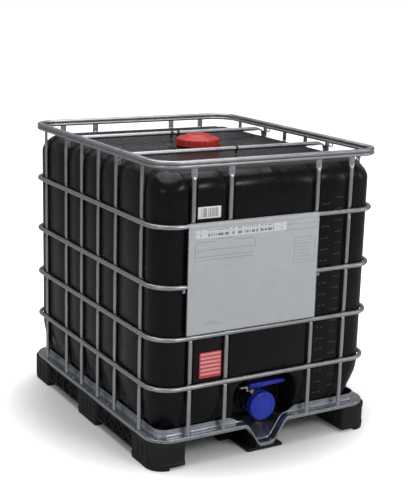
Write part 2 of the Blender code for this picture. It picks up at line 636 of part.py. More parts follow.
def build_spout_foot(plastic):
    """Front centre foot: a keel under the chute, a flat base and a block behind."""
    edge = HALF_LENGTH - TRAY_INSET
    front = -(edge - SPOUT_FOOT_FRONT)
    rear = -(edge - SPOUT_FOOT_REAR)
    block_front = -(edge - CHUTE_LENGTH) - 0.002
    foot = place("foot_front_centre", spout_keel_mesh(plastic))
    base = box_mesh("spout_base", (-SPOUT_BASE_HALF_WIDTH, front, 0),
                    (SPOUT_BASE_HALF_WIDTH, rear, SPOUT_BASE_THICKNESS), plastic)
    add_boolean(foot, place("spout_base", base), 'UNION')
    block = box_mesh("spout_block", (-SPOUT_BLOCK_HALF_WIDTH, block_front, 0),
                     (SPOUT_BLOCK_HALF_WIDTH, rear, SPOUT_BLOCK_TOP), plastic)
    add_boolean(foot, place("spout_block", block), 'UNION')


def build_pallet(plastic):
    corner_low = foot_mesh("corner_foot_a", CORNER_FOOT_WIDTH, CORNER_FOOT_LENGTH, plastic, True, -1)
    corner_high = foot_mesh("corner_foot_b", CORNER_FOOT_WIDTH, CORNER_FOOT_LENGTH, plastic, True, 1)
    middle = foot_mesh("middle_foot", CORNER_FOOT_WIDTH, MIDDLE_FOOT_LENGTH, plastic, True)
    centre = foot_mesh("centre_foot", CENTRE_FOOT_WIDTH, MIDDLE_FOOT_LENGTH, plastic, False)
    rear = foot_mesh("rear_foot", CENTRE_FOOT_WIDTH, CORNER_FOOT_LENGTH, plastic, False)
    side_x = HALF_WIDTH - CORNER_FOOT_WIDTH / 2
    end_y = HALF_LENGTH - CORNER_FOOT_LENGTH / 2
    for side, sign, turn in (("left", -1, math.pi), ("right", 1, 0)):
        front, rear = (corner_high, corner_low) if turn else (corner_low, corner_high)
        place(f"foot_front_{side}", front, (sign * side_x, -end_y, 0), (0, 0, turn))
        place(f"foot_rear_{side}", rear, (sign * side_x, end_y, 0), (0, 0, turn))
        place(f"foot_middle_{side}", middle, (sign * side_x, 0, 0), (0, 0, turn))
    build_spout_foot(plastic)
    place("foot_centre", centre)
    place("foot_rear_centre", rear, (0, end_y, 0))

    rail_start = MIDDLE_FOOT_LENGTH / 2 + GAP
    rail_end = HALF_LENGTH - CORNER_FOOT_LENGTH - GAP
    outer = HALF_WIDTH - RAIL_INSET
    rail = box_mesh("rail", (-RAIL_THICKNESS / 2, -(rail_end - rail_start) / 2, RAIL_GROUND_CLEARANCE),
                    (RAIL_THICKNESS / 2, (rail_end - rail_start) / 2, FOOT_HEIGHT), plastic)
    rail_y = (rail_start + rail_end) / 2
    for side, sign in (("left", -1), ("right", 1)):
        for end, y in (("front", -rail_y), ("rear", rail_y)):
            place(f"rail_{side}_{end}", rail, (sign * (outer - RAIL_THICKNESS / 2), y, 0))


# ---------------------------------------------------------------- tank
def tank_outline(inset, groove_depth):
    """Plan of the tank with an upright groove behind each upright tube."""
    half_x = TANK_HALF_X - inset
    half_y = TANK_HALF_Y - inset
    room = min(half_x - FRONT_OUTER_UPRIGHT, half_y - SIDE_OUTER_UPRIGHT) - GROOVE_MOUTH / 2 - GAP
    radius = min(max(TANK_CORNER_RADIUS - inset, TANK_LEAST_CORNER), room)

    def stations(centres):
        return [c + s * w / 2 for c in centres for s, w in
                ((-1, GROOVE_MOUTH), (-1, GROOVE_FLOOR), (1, GROOVE_FLOOR), (1, GROOVE_MOUTH))]

    plan = rounded_rectangle(half_x, half_y, radius, CORNER_STEPS, front=stations(FRONT_UPRIGHTS),
                             back=stations(FRONT_UPRIGHTS), side=stations(SIDE_UPRIGHTS))
    points = []
    for x, y in plan:
        on_end = abs(abs(y) - half_y) < 1e-9
        on_side = abs(abs(x) - half_x) < 1e-9
        near = min((abs(x - c) for c in FRONT_UPRIGHTS)) if on_end else 1.0
        near = min((abs(y - c) for c in SIDE_UPRIGHTS)) if on_side else near
        depth = groove_depth if near < GROOVE_FLOOR / 2 + 1e-6 else 0.0
        if on_end:
            y -= math.copysign(depth, y)
        if on_side:
            x -= math.copysign(depth, x)
        points.append((x, y))
    return points


def tank_shell_mesh(material):
    """Outer skin of the tank, rounded at its foot and shoulder."""
    foot_inset = max(TRAY_WALL_INSET + TANK_TRAY_CLEARANCE - (HALF_WIDTH - TANK_HALF_X), 0.0)
    levels = []
    for i in range(4):
        angle = math.pi / 2 * i / 3
        levels.append((TANK_EDGE_RADIUS * (1 - math.sin(angle)) + foot_inset * math.cos(angle),
                       TANK_BOTTOM + TANK_EDGE_RADIUS * (1 - math.cos(angle)), i / 3))
    for i in range(4):
        angle = math.pi / 2 * i / 3
        levels.append((TANK_EDGE_RADIUS * (1 - math.cos(angle)),
                       TANK_TOP - TANK_EDGE_RADIUS * (1 - math.sin(angle)), 1 - i / 3))
    bm = bmesh.new()
    rings = [[(x, y, z) for x, y in tank_outline(inset, GROOVE_DEPTH * share)]
             for inset, z, share in levels]
    loft(bm, rings)
    return finish_mesh(bm, "bottle", material)


def tank_cavity_mesh(material):
    """The space inside: a plain rounded box, clear of the grooves by the wall."""
    levels = ((TANK_EDGE_RADIUS, 0.0), (TANK_EDGE_RADIUS * 0.3, TANK_EDGE_RADIUS * 0.3), (0.0, TANK_EDGE_RADIUS))
    half_x = TANK_HALF_X - GROOVE_DEPTH - TANK_WALL
    half_y = TANK_HALF_Y - GROOVE_DEPTH - TANK_WALL
    low = TANK_BOTTOM + TANK_WALL
    high = TANK_TOP - TANK_WALL
    rings = []
    for inset, rise in levels:
        rings.append((inset, low + rise))
    for inset, fall in reversed(levels):
        rings.append((inset, high - fall))
    bm = bmesh.new()
    loft(bm, [[(x, y, z) for x, y in rounded_rectangle(half_x - inset, half_y - inset,
                                                       max(TANK_CORNER_RADIUS - inset, TANK_LEAST_CORNER), 4)]
              for inset, z in rings])
    return finish_mesh(bm, "tank_cavity", material)


def recess_outline(grow):
    """Front view of the valve recess: a slot with rounded upper corners."""
    half = RECESS_HALF_WIDTH + grow
    top = RECESS_TOP + grow
    radius = RECESS_CORNER_RADIUS + grow
    bottom = TANK_BOTTOM - 0.05
    points = [(-half, bottom), (half, bottom)]
    for cx, start in ((half - radius, 0), (-(half - radius), 90)):
        for i in range(CORNER_STEPS + 1):
            angle = math.radians(start + 90 * i / CORNER_STEPS)
            points.append((cx + radius * math.cos(angle), top - radius + radius * math.sin(angle)))
    return points


def build_tank(plastic):
    """Shell, neck and outlet joined, then the cavity and both bores cut away."""
    front = -TANK_HALF_Y - 0.05
    bottle = place("bottle", tank_shell_mesh(plastic))
    recess = place("recess", extrude_outline("recess", recess_outline(0), front, RECESS_BACK, plastic))
    add_boolean(bottle, recess, 'DIFFERENCE')

    thread = NECK_RADIUS + NECK_THREAD_HEIGHT
    neck_profile = [(0, TANK_TOP - TANK_WALL / 2), (NECK_RADIUS, TANK_TOP - TANK_WALL / 2)]
    for base in (TANK_TOP + NECK_HEIGHT * 0.40, TANK_TOP + NECK_HEIGHT * 0.70):
        neck_profile += [(NECK_RADIUS, base), (thread, base + NECK_THREAD_WIDTH * 0.3),
                         (thread, base + NECK_THREAD_WIDTH * 0.7), (NECK_RADIUS, base + NECK_THREAD_WIDTH)]
    neck_profile += [(NECK_RADIUS, NECK_TOP), (0, NECK_TOP)]
    neck = place("neck", revolve("neck", neck_profile, plastic))
    add_boolean(bottle, neck, 'UNION')
    outlet_profile = [(0, -TANK_WALL / 2), (OUTLET_NECK_RADIUS, -TANK_WALL / 2),
                      (OUTLET_NECK_RADIUS, OUTLET_NECK_LENGTH), (0, OUTLET_NECK_LENGTH)]
    outlet = place("outlet_neck", revolve("outlet_neck", outlet_profile, plastic, axis='Y'),
                   (0, RECESS_BACK, OUTLET_HEIGHT))
    add_boolean(bottle, outlet, 'UNION')

    cavity = place("tank_cavity", tank_cavity_mesh(plastic))
    inner_recess = place("inner_recess", extrude_outline("inner_recess", recess_outline(TANK_WALL),
                                                         front, RECESS_BACK + TANK_WALL, plastic))
    add_boolean(cavity, inner_recess, 'DIFFERENCE')
    add_boolean(bottle, cavity, 'DIFFERENCE')
    neck_bore_profile = [(0, TANK_TOP - 0.02), (NECK_BORE_RADIUS, TANK_TOP - 0.02),
                         (NECK_BORE_RADIUS, NECK_TOP + 0.01), (0, NECK_TOP + 0.01)]
    neck_bore = place("neck_bore", revolve("neck_bore", neck_bore_profile, plastic))
    add_boolean(bottle, neck_bore, 'DIFFERENCE')
    bore_profile = [(0, -0.02), (OUTLET_BORE_RADIUS, -0.02),
                    (OUTLET_BORE_RADIUS, OUTLET_NECK_LENGTH + 0.01), (0, OUTLET_NECK_LENGTH + 0.01)]
    outlet_bore = place("outlet_bore", revolve("outlet_bore", bore_profile, plastic, axis='Y'),
                        (0, RECESS_BACK, OUTLET_HEIGHT))
    add_boolean(bottle, outlet_bore, 'DIFFERENCE')


# ---------------------------------------------------------------- lid
def build_lid(red, rubber):
    """Screw lid and the flat ring seal inside it, both on the neck's axis."""
    axis = axis_empty("lid_axis", (0, 0, LID_UNDERSIDE))
    bore = NECK_RADIUS + NECK_THREAD_HEIGHT + LID_SKIRT_CLEARANCE
    skirt_end = -(LID_UNDERSIDE - TANK_TOP - LID_TO_TANK)
    lid_profile = [(0, LID_HUB_RISE - LID_WALL), (LID_HUB_RADIUS - LID_WALL, LID_HUB_RISE - LID_WALL),
                   (LID_CROWN_RADIUS - LID_WALL, LID_CROWN_RISE - LID_WALL),
                   (NECK_BORE_RADIUS - LID_WALL, 0), (bore, 0), (bore, skirt_end),
                   (LID_RADIUS - 0.0015, skirt_end), (LID_RADIUS, skirt_end + 0.003), (LID_RADIUS, 0),
                   (LID_RADIUS - LID_EDGE_RADIUS, LID_EDGE_RADIUS), (LID_CROWN_RADIUS, LID_CROWN_RISE),
                   (LID_HUB_RADIUS, LID_HUB_RISE), (0, LID_HUB_RISE)]
    place("lid", revolve("lid", lid_profile, red), parent=axis)
    seat = GASKET_THICKNESS + GAP
    gasket_profile = [(NECK_BORE_RADIUS, -seat), (NECK_RADIUS + 0.001, -seat),
                      (NECK_RADIUS + 0.001, -GAP), (NECK_BORE_RADIUS, -GAP)]
    place("lid_gasket", revolve("lid_gasket", gasket_profile, rubber), parent=axis)


# ---------------------------------------------------------------- valve
def valve_body_mesh(material):
    """Flange, waist, butterfly housing and threaded spout, turned about -Y."""
    spout_thread = VALVE_SPOUT_RADIUS + VALVE_THREAD_HEIGHT
    flange = VALVE_FLANGE_LENGTH
    housing = flange + VALVE_WAIST_LENGTH
    spout = housing + VALVE_HOUSING_LENGTH
    end = spout + VALVE_SPOUT_LENGTH
    profile = [(OUTLET_BORE_RADIUS, 0), (OUTLET_NECK_RADIUS, 0), (OUTLET_NECK_RADIUS, flange),
               (VALVE_WAIST_RADIUS, flange), (VALVE_WAIST_RADIUS, housing - 0.002),
               (VALVE_HOUSING_RADIUS, housing + 0.002), (VALVE_HOUSING_RADIUS, spout - 0.002),
               (VALVE_SPOUT_RADIUS - 0.003, spout), (VALVE_SPOUT_RADIUS - 0.003, spout + 0.004),
               (VALVE_SPOUT_RADIUS, spout + 0.005)]
    for base in (spout + 0.009, spout + 0.018):
        profile += [(VALVE_SPOUT_RADIUS, base), (spout_thread, base + 0.0012),
                    (spout_thread, base + 0.0028), (VALVE_SPOUT_RADIUS, base + 0.004)]
    profile += [(VALVE_SPOUT_RADIUS, end), (OUTLET_BORE_RADIUS, end)]
    return revolve("valve_body", profile, material, axis='Y')


def lever_mesh(material):
    """Lever of the handle: a long arm along +X from the stem axis and a short tail."""
    half = LEVER_WIDTH / 2
    tip = LEVER_TIP_WIDTH / 2
    outline = [(-LEVER_TAIL, -half), (HUB_RADIUS, -half)]
    for i in range(9):
        angle = math.radians(-90 + 180 * i / 8)
        outline.append((LEVER_LENGTH - tip + tip * math.cos(angle), tip * math.sin(angle)))
    outline += [(HUB_RADIUS, half), (-LEVER_TAIL, half)]
    bm = bmesh.new()
    loft(bm, [[(x, y, z) for x, y in outline] for z in (LEVER_BOTTOM, LEVER_BOTTOM + LEVER_HEIGHT)])
    return finish_mesh(bm, "valve_handle", material)


def build_valve(black, blue, rubber):
    """Union nut, seal, body, disc, stem and handle of the butterfly valve."""
    centre = (0, 0, OUTLET_HEIGHT)

    def at(y):
        return (0, y, OUTLET_HEIGHT)

    ring = [(OUTLET_BORE_RADIUS, 0), (OUTLET_NECK_RADIUS, 0),
            (OUTLET_NECK_RADIUS, GASKET_THICKNESS), (OUTLET_BORE_RADIUS, GASKET_THICKNESS)]
    place("valve_gasket", revolve("valve_gasket", ring, rubber, axis='Y'), at(OUTLET_NECK_END - GAP))

    bore = OUTLET_NECK_RADIUS + GAP
    throat = VALVE_WAIST_RADIUS + 0.0012
    nut_back = OUTLET_NECK_LENGTH * 0.35
    nut_seat = -(FLANGE_FRONT - GAP - RECESS_BACK)
    nut_profile = [(bore, nut_back), (NUT_RADIUS, nut_back), (NUT_RADIUS, nut_seat + NUT_LIP),
                   (throat, nut_seat + NUT_LIP), (throat, nut_seat), (bore, nut_seat)]
    place("valve_union_nut", revolve("valve_union_nut", nut_profile, black, axis='Y'), at(RECESS_BACK))

    body = place("valve_body", valve_body_mesh(black), at(VALVE_BACK))
    boss_foot = VALVE_HOUSING_RADIUS - 0.006
    boss_profile = [(0, boss_foot), (BOSS_RADIUS, boss_foot), (BOSS_RADIUS, BOSS_TOP - OUTLET_HEIGHT),
                    (0, BOSS_TOP - OUTLET_HEIGHT)]
    boss = place("stem_boss", revolve("stem_boss", boss_profile, black, sides=SMALL_SIDES), at(STEM_Y))
    add_boolean(body, boss, 'UNION')
    hole = STEM_RADIUS + STEM_CLEARANCE
    hole_profile = [(0, OUTLET_BORE_RADIUS - 0.005), (hole, OUTLET_BORE_RADIUS - 0.005),
                    (hole, BOSS_TOP - OUTLET_HEIGHT + 0.005), (0, BOSS_TOP - OUTLET_HEIGHT + 0.005)]
    stem_hole = place("stem_hole", revolve("stem_hole", hole_profile, black, sides=SMALL_SIDES), at(STEM_Y))
    add_boolean(body, stem_hole, 'DIFFERENCE')

    stem_axis = axis_empty("valve_stem_axis", (0, STEM_Y, 0))
    disc_half = DISC_THICKNESS / 2
    disc_profile = [(0, -disc_half), (DISC_RADIUS - 0.001, -disc_half), (DISC_RADIUS, -disc_half + 0.001),
                    (DISC_RADIUS, disc_half - 0.001), (DISC_RADIUS - 0.001, disc_half), (0, disc_half)]
    place("valve_disc", revolve("valve_disc", disc_profile, black, axis='Y'), centre, parent=stem_axis)
    stem_foot = OUTLET_HEIGHT + DISC_RADIUS + GAP
    stem_top = HUB_TOP - 0.006
    stem_profile = [(0, stem_foot), (STEM_RADIUS, stem_foot), (STEM_RADIUS, stem_top), (0, stem_top)]
    place("valve_stem", revolve("valve_stem", stem_profile, black, sides=SMALL_SIDES), parent=stem_axis)

    handle = place("valve_handle", lever_mesh(blue), parent=stem_axis)
    hub_profile = [(0, HUB_BOTTOM), (HUB_RADIUS, HUB_BOTTOM), (HUB_RADIUS, HUB_TOP - 0.002),
                   (HUB_RADIUS - 0.002, HUB_TOP), (0, HUB_TOP)]
    hub = place("handle_hub", revolve("handle_hub", hub_profile, blue, sides=SMALL_SIDES), parent=stem_axis)
    add_boolean(handle, hub, 'UNION')
    socket = STEM_RADIUS + GAP
    socket_profile = [(0, HUB_BOTTOM - 0.005), (socket, HUB_BOTTOM - 0.005), (socket, stem_top + GAP),
                      (0, stem_top + GAP)]
    stem_socket = place("stem_socket", revolve("stem_socket", socket_profile, blue, sides=SMALL_SIDES),
                        parent=stem_axis)
    add_boolean(handle, stem_socket, 'DIFFERENCE')


def build_outlet_cap(blue, rubber):
    """Screw cap over the valve spout and the ring seal inside it."""
    axis = axis_empty("cap_axis", (0, CAP_SEAT, OUTLET_HEIGHT))
    bore = VALVE_SPOUT_RADIUS + VALVE_THREAD_HEIGHT + CAP_SKIRT_CLEARANCE
    back = CAP_PLATE - CAP_LENGTH
    cap_profile = [(0, 0), (bore, 0), (bore, back), (CAP_RADIUS - 0.001, back), (CAP_RADIUS, back + 0.002),
                   (CAP_RADIUS, CAP_PLATE - 0.003), (CAP_RADIUS - 0.003, CAP_PLATE), (0, CAP_PLATE)]
    place("outlet_cap", revolve("outlet_cap", cap_profile, blue, axis='Y'), parent=axis)
    seat = GASKET_THICKNESS + GAP
    gasket_profile = [(OUTLET_BORE_RADIUS, -seat), (VALVE_SPOUT_RADIUS, -seat),
                      (VALVE_SPOUT_RADIUS, -GAP), (OUTLET_BORE_RADIUS, -GAP)]
    place("cap_gasket", revolve("cap_gasket", gasket_profile, rubber, axis='Y'), parent=axis)


# ---------------------------------------------------------------- label plate
def build_label_plate(sheet_metal, steel):
    """A sheet hung on the top hoop, with turned-back edges and two clips."""
    left = -FRONT_OUTER_UPRIGHT - PLATE_LEFT_OVERHANG
    right = FRONT_INNER_UPRIGHT + PLATE_RIGHT_OVERHANG
    back = -(HALF_LENGTH - CAGE_INSET) - GAP
    face = back - PLATE_SHEET
    top = HOOP_HEIGHTS[3] + HOOP_DIAMETER / 2 + GAP + PLATE_SHEET
    bottom = HOOP_HEIGHTS[1] + HOOP_DIAMETER / 2 + PLATE_TO_LOWER_HOOP
    flange_back = -(UPRIGHT_HALF_Y + UPRIGHT_DIAMETER / 2 + PLATE_FLANGE_TO_UPRIGHT)
    middle = HOOP_HEIGHTS[2]
    upper = HOOP_HEIGHTS[3] - HOOP_DIAMETER / 2 - 0.004
    blocks = [((left, face, top - PLATE_SHEET), (right, flange_back, top)),
              ((left, face, bottom), (right, flange_back, bottom + PLATE_SHEET))]
    for x in (left, right - PLATE_SHEET):
        for low, high in ((bottom, middle - PLATE_NOTCH), (middle + PLATE_NOTCH, upper)):
            blocks.append(((x, face, low), (x + PLATE_SHEET, flange_back, high)))
    plate = place("label_plate", box_mesh("label_plate", (left, face, bottom), (right, back, top), sheet_metal))
    for number, (low, high) in enumerate(blocks, start=1):
        flange = place(f"plate_flange_{number}", box_mesh(f"plate_flange_{number}", low, high, sheet_metal))
        add_boolean(plate, flange, 'UNION')

    half = CLIP_SIZE / 2
    clip = box_mesh("plate_clip", (-half, -half, -CLIP_SIZE), (half, half, 0), steel, bevel=0.0015)
    clip_z = middle - HOOP_DIAMETER / 2 - GAP
    for name, x in (("left", left - half - 0.004), ("right", right + half + 0.004)):
        place(f"plate_clip_{name}", clip, (x, -HOOP_HALF_Y, clip_z))


def main():
    for obj in list(bpy.data.objects):
        bpy.data.objects.remove(obj, do_unlink=True)
    steel = make_material("galvanised_steel", (0.55, 0.57, 0.60), 0.38, 1.0)
    deck = make_material("deck_steel", (0.62, 0.65, 0.68), 0.32, 1.0)
    sheet_metal = make_material("plate_steel", (0.70, 0.72, 0.75), 0.45, 0.6)
    black = make_material("black_polyethylene", (0.018, 0.018, 0.020), 0.42, 0.0)
    pallet = make_material("pallet_plastic", (0.022, 0.022, 0.022), 0.65, 0.0)
    red = make_material("red_plastic", (0.62, 0.035, 0.02), 0.38, 0.0)
    blue = make_material("blue_plastic", (0.03, 0.07, 0.50), 0.36, 0.0)
    rubber = make_material("seal_rubber", (0.05, 0.05, 0.05), 0.8, 0.0)
    build_cage(steel)
    build_crossbars(steel)
    place("deck_tray", tray_mesh(deck))
    build_pallet(pallet)
    build_tank(black)
    build_lid(red, rubber)
    build_valve(black, blue, rubber)
    build_outlet_cap(blue, rubber)
    build_label_plate(sheet_metal, steel)


main()
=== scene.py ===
import math

import bmesh
import bpy
from mathutils import Matrix, Vector


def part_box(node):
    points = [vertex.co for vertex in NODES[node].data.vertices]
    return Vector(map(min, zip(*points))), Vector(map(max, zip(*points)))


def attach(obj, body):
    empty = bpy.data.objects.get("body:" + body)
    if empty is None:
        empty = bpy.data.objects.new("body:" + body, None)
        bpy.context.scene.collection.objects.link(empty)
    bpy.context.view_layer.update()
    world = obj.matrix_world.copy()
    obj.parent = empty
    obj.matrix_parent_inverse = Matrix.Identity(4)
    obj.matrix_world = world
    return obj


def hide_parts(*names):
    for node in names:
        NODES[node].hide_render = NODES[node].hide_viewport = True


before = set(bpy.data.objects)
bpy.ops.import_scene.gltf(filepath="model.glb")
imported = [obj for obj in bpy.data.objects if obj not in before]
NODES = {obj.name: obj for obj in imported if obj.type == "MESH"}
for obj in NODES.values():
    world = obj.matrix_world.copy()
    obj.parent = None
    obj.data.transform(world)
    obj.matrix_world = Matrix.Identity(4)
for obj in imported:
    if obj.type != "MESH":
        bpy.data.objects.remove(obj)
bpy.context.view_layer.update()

# ------------------------------------------------------------ sizes from the frame
HALF_X, HALF_Y = 0.500, 0.600
HOOP_HEIGHTS = [sum((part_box(f"hoop_{i}")[k].z for k in (0, 1))) / 2 for i in range(1, 5)]
HOOP_RADIUS = 0.009
HOOP_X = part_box("hoop_1")[1].x - HOOP_RADIUS
HOOP_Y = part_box("hoop_1")[1].y - HOOP_RADIUS
TUBE_RADIUS = 0.0085
UPRIGHT_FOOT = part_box("upright_front_1")[0].z
RIM_LOW, RIM_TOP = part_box("top_rim")[0].z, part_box("top_rim")[1].z
RIM_HALF = 0.012
RIM_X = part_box("top_rim")[1].x - RIM_HALF
RIM_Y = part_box("top_rim")[1].y - RIM_HALF
CAGE_CORNER = 0.098
UPRIGHTS = {n: (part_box(n)[0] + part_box(n)[1]) / 2 for n in NODES if n.startswith("upright_")}
FRONT_X = sorted(UPRIGHTS[f"upright_front_{i}"].x for i in range(1, 5))
SIDE_Y = sorted(UPRIGHTS[f"upright_left_{i}"].y for i in range(1, 7))
UPRIGHT_X = UPRIGHTS["upright_right_1"].x
BAR_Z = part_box("crossbar_front")[1].z - 0.009
BAR_Y = UPRIGHTS["upright_right_5"].y
TANK_X, TANK_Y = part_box("bottle")[1].x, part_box("bottle")[1].y
TANK_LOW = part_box("bottle")[0].z
TANK_TOP = 1.109
NECK_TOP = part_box("bottle")[1].z
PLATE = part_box("label_plate")
OUTLET = Vector((0, 0, 0.168))
TRAY_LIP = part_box("foot_rear_left")[1].z + 0.0145
TRAY_FLOOR = TRAY_LIP - 0.012


# ------------------------------------------------------------ node materials
class Graph:
    """A short way to write a shader: each call adds one node and returns it."""

    def __init__(self, name):
        self.material = bpy.data.materials.new(name)
        self.material.use_nodes = True
        self.tree = self.material.node_tree
        self.shader = self.tree.nodes["Principled BSDF"]
        self.place = self.add("ShaderNodeTexCoord").outputs["Object"]

    def add(self, kind, **settings):
        node = self.tree.nodes.new(kind)
        for key, value in settings.items():
            setattr(node, key, value)
        return node

    def put(self, socket, value):
        if isinstance(value, bpy.types.NodeSocket):
            self.tree.links.new(value, socket)
        else:
            socket.default_value = value

    def scaled(self, x, y, z):
        """Object coordinates stretched per axis."""
        node = self.add("ShaderNodeMapping")
        self.put(node.inputs["Vector"], self.place)
        node.inputs["Scale"].default_value = (x, y, z)
        return node.outputs["Vector"]

    def noise(self, scale, detail=3.0, rough=0.55, vector=None):
        node = self.add("ShaderNodeTexNoise")
        self.put(node.inputs["Vector"], vector or self.place)
        node.inputs["Scale"].default_value = scale
        node.inputs["Detail"].default_value = detail
        node.inputs["Roughness"].default_value = rough
        return node.outputs["Fac"]

    def cells(self, scale, feature='F1', vector=None):
        node = self.add("ShaderNodeTexVoronoi", feature=feature)
        self.put(node.inputs["Vector"], vector or self.place)
        node.inputs["Scale"].default_value = scale
        return node

    def span(self, value, low, high, out_low=0.0, out_high=1.0):
        """Map a value between two limits onto two others, clamped."""
        node = self.add("ShaderNodeMapRange", clamp=True)
        self.put(node.inputs["Value"], value)
        for key, number in zip(("From Min", "From Max", "To Min", "To Max"), (low, high, out_low, out_high)):
            node.inputs[key].default_value = number
        return node.outputs["Result"]

    def math(self, operation, a, b=0.0):
        node = self.add("ShaderNodeMath", operation=operation)
        self.put(node.inputs[0], a)
        self.put(node.inputs[1], b)
        return node.outputs["Value"]

    def mix(self, share, a, b):
        node = self.add("ShaderNodeMix", data_type='RGBA')
        self.put(node.inputs[0], share)
        self.put(node.inputs[6], (*a, 1.0) if isinstance(a, tuple) else a)
        self.put(node.inputs[7], (*b, 1.0) if isinstance(b, tuple) else b)
        return node.outputs[2]

    def finish(self, color, roughness, height=None, strength=0.1, distance=0.001, metallic=0.0, **sockets):
        self.put(self.shader.inputs["Base Color"], color)
        self.put(self.shader.inputs["Roughness"], roughness)
        self.shader.inputs["Metallic"].default_value = metallic
        for key, value in sockets.items():
            self.shader.inputs[key.replace("_", " ")].default_value = value
        if height is not None:
            bump = self.add("ShaderNodeBump")
            bump.inputs["Strength"].default_value = strength
            bump.inputs["Distance"].default_value = distance
            self.put(bump.inputs["Height"], height)
            self.put(self.shader.inputs["Normal"], bump.outputs["Normal"])
        return self.material


def galvanised(name, dark, light, rough_low, rough_high, spangle, streak=(1.0, 1.0, 1.0), metallic=1.0):
    """Zinc-coated steel: crystal spangle, cloudy patches and fine drawing lines."""
    g = Graph(name)
    crystals = g.cells(spangle).outputs["Color"]
    grey = g.add("ShaderNodeSeparateColor")
    g.put(grey.inputs["Color"], crystals)
    cloud = g.noise(9.0, 4.0)
    lines = g.noise(60.0, 2.0, vector=g.scaled(*streak))
    blend = g.math('ADD', g.math('MULTIPLY', grey.outputs[0], 0.30), g.math('MULTIPLY', cloud, 0.70))
    color = g.mix(g.span(blend, 0.25, 0.75), dark, light)
    white_rust = g.span(g.noise(31.0, 5.0, 0.7), 0.62, 0.85, 0.0, 0.16)
    color = g.mix(white_rust, color, (0.74, 0.76, 0.78))
    rough = g.math('ADD', g.span(blend, 0.2, 0.8, rough_low, rough_high),
                   g.span(lines, 0.3, 0.7, -0.03, 0.06))
    height = g.math('ADD', g.math('MULTIPLY', lines, 0.6), g.math('MULTIPLY', g.noise(420.0, 2.0), 0.4))
    return g.finish(color, rough, height, 0.05, 0.0003, metallic=metallic)


def moulded(name, dark, light, rough_low, rough_high, grain, strength, dust=0.0, streak=None, **sockets):
    """Moulded plastic: slight colour drift, fine orange peel, rubbed and dusty patches."""
    g = Graph(name)
    drift = g.noise(5.0, 4.0)
    color = g.mix(g.span(drift, 0.3, 0.7), dark, light)
    rub = g.noise(26.0, 5.0, 0.65, vector=g.scaled(*streak) if streak else None)
    if dust:
        color = g.mix(g.span(rub, 0.52, 0.75, 0.0, dust), color, (0.42, 0.40, 0.37))
    rough = g.math('ADD', g.span(drift, 0.3, 0.7, rough_low, rough_high), g.span(rub, 0.35, 0.7, -0.04, 0.08))
    height = g.math('ADD', g.math('MULTIPLY', g.noise(grain, 2.0), 0.7),
                    g.math('MULTIPLY', g.noise(grain / 6, 2.0), 0.3))
    return g.finish(color, rough, height, strength, 0.0006, **sockets)


def printed(name, paper, ink, columns, ink_share, rows=None, border=None, margin=0.12, low=(0, 0),
            high=(1, 1)):
    """A printed film: bars across X, broken into rows up Z, inside a margin."""
    g = Graph(name)
    parts = g.add("ShaderNodeSeparateXYZ")
    g.put(parts.inputs["Vector"], g.place)
    u = g.span(parts.outputs["X"], low[0], high[0])
    v = g.span(parts.outputs["Z"], low[1], high[1])

    def steps(value, count):
        noise = g.add("ShaderNodeTexWhiteNoise", noise_dimensions='1D')
        g.put(noise.inputs["W"], g.math('FLOOR', g.math('MULTIPLY', value, float(count))))
        return noise.outputs["Value"]

    mark = g.math('LESS_THAN', steps(u, columns), ink_share)
    if rows:
        line = g.math('PINGPONG', g.math('MULTIPLY', v, float(rows)), 1.0)
        mark = g.math('MULTIPLY', mark, g.math('GREATER_THAN', line, 0.5))
    inside_u = g.math('MULTIPLY', g.math('GREATER_THAN', u, margin), g.math('LESS_THAN', u, 1 - margin))
    inside_v = g.math('MULTIPLY', g.math('GREATER_THAN', v, margin), g.math('LESS_THAN', v, 1 - margin))
    inside = g.math('MULTIPLY', inside_u, inside_v)
    mottled = g.mix(g.span(g.noise(40.0), 0.3, 0.7), paper, tuple(c * 0.94 for c in paper))
    color = g.mix(g.math('MULTIPLY', mark, inside), mottled, ink)
    if border:
        color = g.mix(inside, border, color)
    return g.finish(color, g.span(g.noise(60.0), 0.3, 0.7, 0.32, 0.46), g.noise(300.0), 0.03, 0.0004)


STEEL = galvanised("galvanised_steel", (0.44, 0.45, 0.47), (0.54, 0.55, 0.57), 0.32, 0.40, 160.0,
                   (1, 1, 0.15))
BEAD = galvanised("rim_steel", (0.42, 0.43, 0.45), (0.52, 0.53, 0.55), 0.34, 0.42, 140.0, (0.3, 0.3, 1))
DECK = galvanised("deck_steel", (0.40, 0.42, 0.46), (0.54, 0.56, 0.60), 0.24, 0.38, 90.0, (0.5, 0.5, 1))
PLATE_STEEL = galvanised("plate_steel", (0.46, 0.475, 0.49), (0.50, 0.515, 0.53), 0.46, 0.54, 60.0,
                         (0.2, 0.2, 1), 0.25)
# Darker steel for the plate's pressed bead lines: painted shade standing in for the shading along the
# embossed lines.
BEAD_SHADE_STEEL = galvanised("bead_painted_shade_steel", (0.24, 0.25, 0.27), (0.30, 0.31, 0.33), 0.40, 0.50, 60.0,
                           (0.2, 0.2, 1), 0.4)
TANK_PLASTIC = moulded("black_polyethylene", (0.0040, 0.0040, 0.0045), (0.0065, 0.0065, 0.0075),
                       0.24, 0.30, 320.0, 0.03, dust=0.003, streak=(1, 1, 0.25), Specular_IOR_Level=0.19)
FOOT_PLASTIC = moulded("pallet_plastic", (0.007, 0.007, 0.007), (0.015, 0.015, 0.015),
                       0.46, 0.60, 260.0, 0.15, dust=0.05, Specular_IOR_Level=0.25)
VALVE_PLASTIC = moulded("valve_plastic", (0.012, 0.012, 0.013), (0.022, 0.022, 0.024), 0.36, 0.46, 400.0,
                        0.08, dust=0.02)
RED = moulded("red_plastic", (0.38, 0.010, 0.008), (0.48, 0.018, 0.012), 0.34, 0.44, 420.0, 0.07,
              dust=0.03, Subsurface_Weight=0.05)
BLUE = moulded("blue_plastic", (0.006, 0.020, 0.34), (0.012, 0.036, 0.44), 0.32, 0.42, 420.0, 0.06,
               dust=0.03, Subsurface_Weight=0.05)
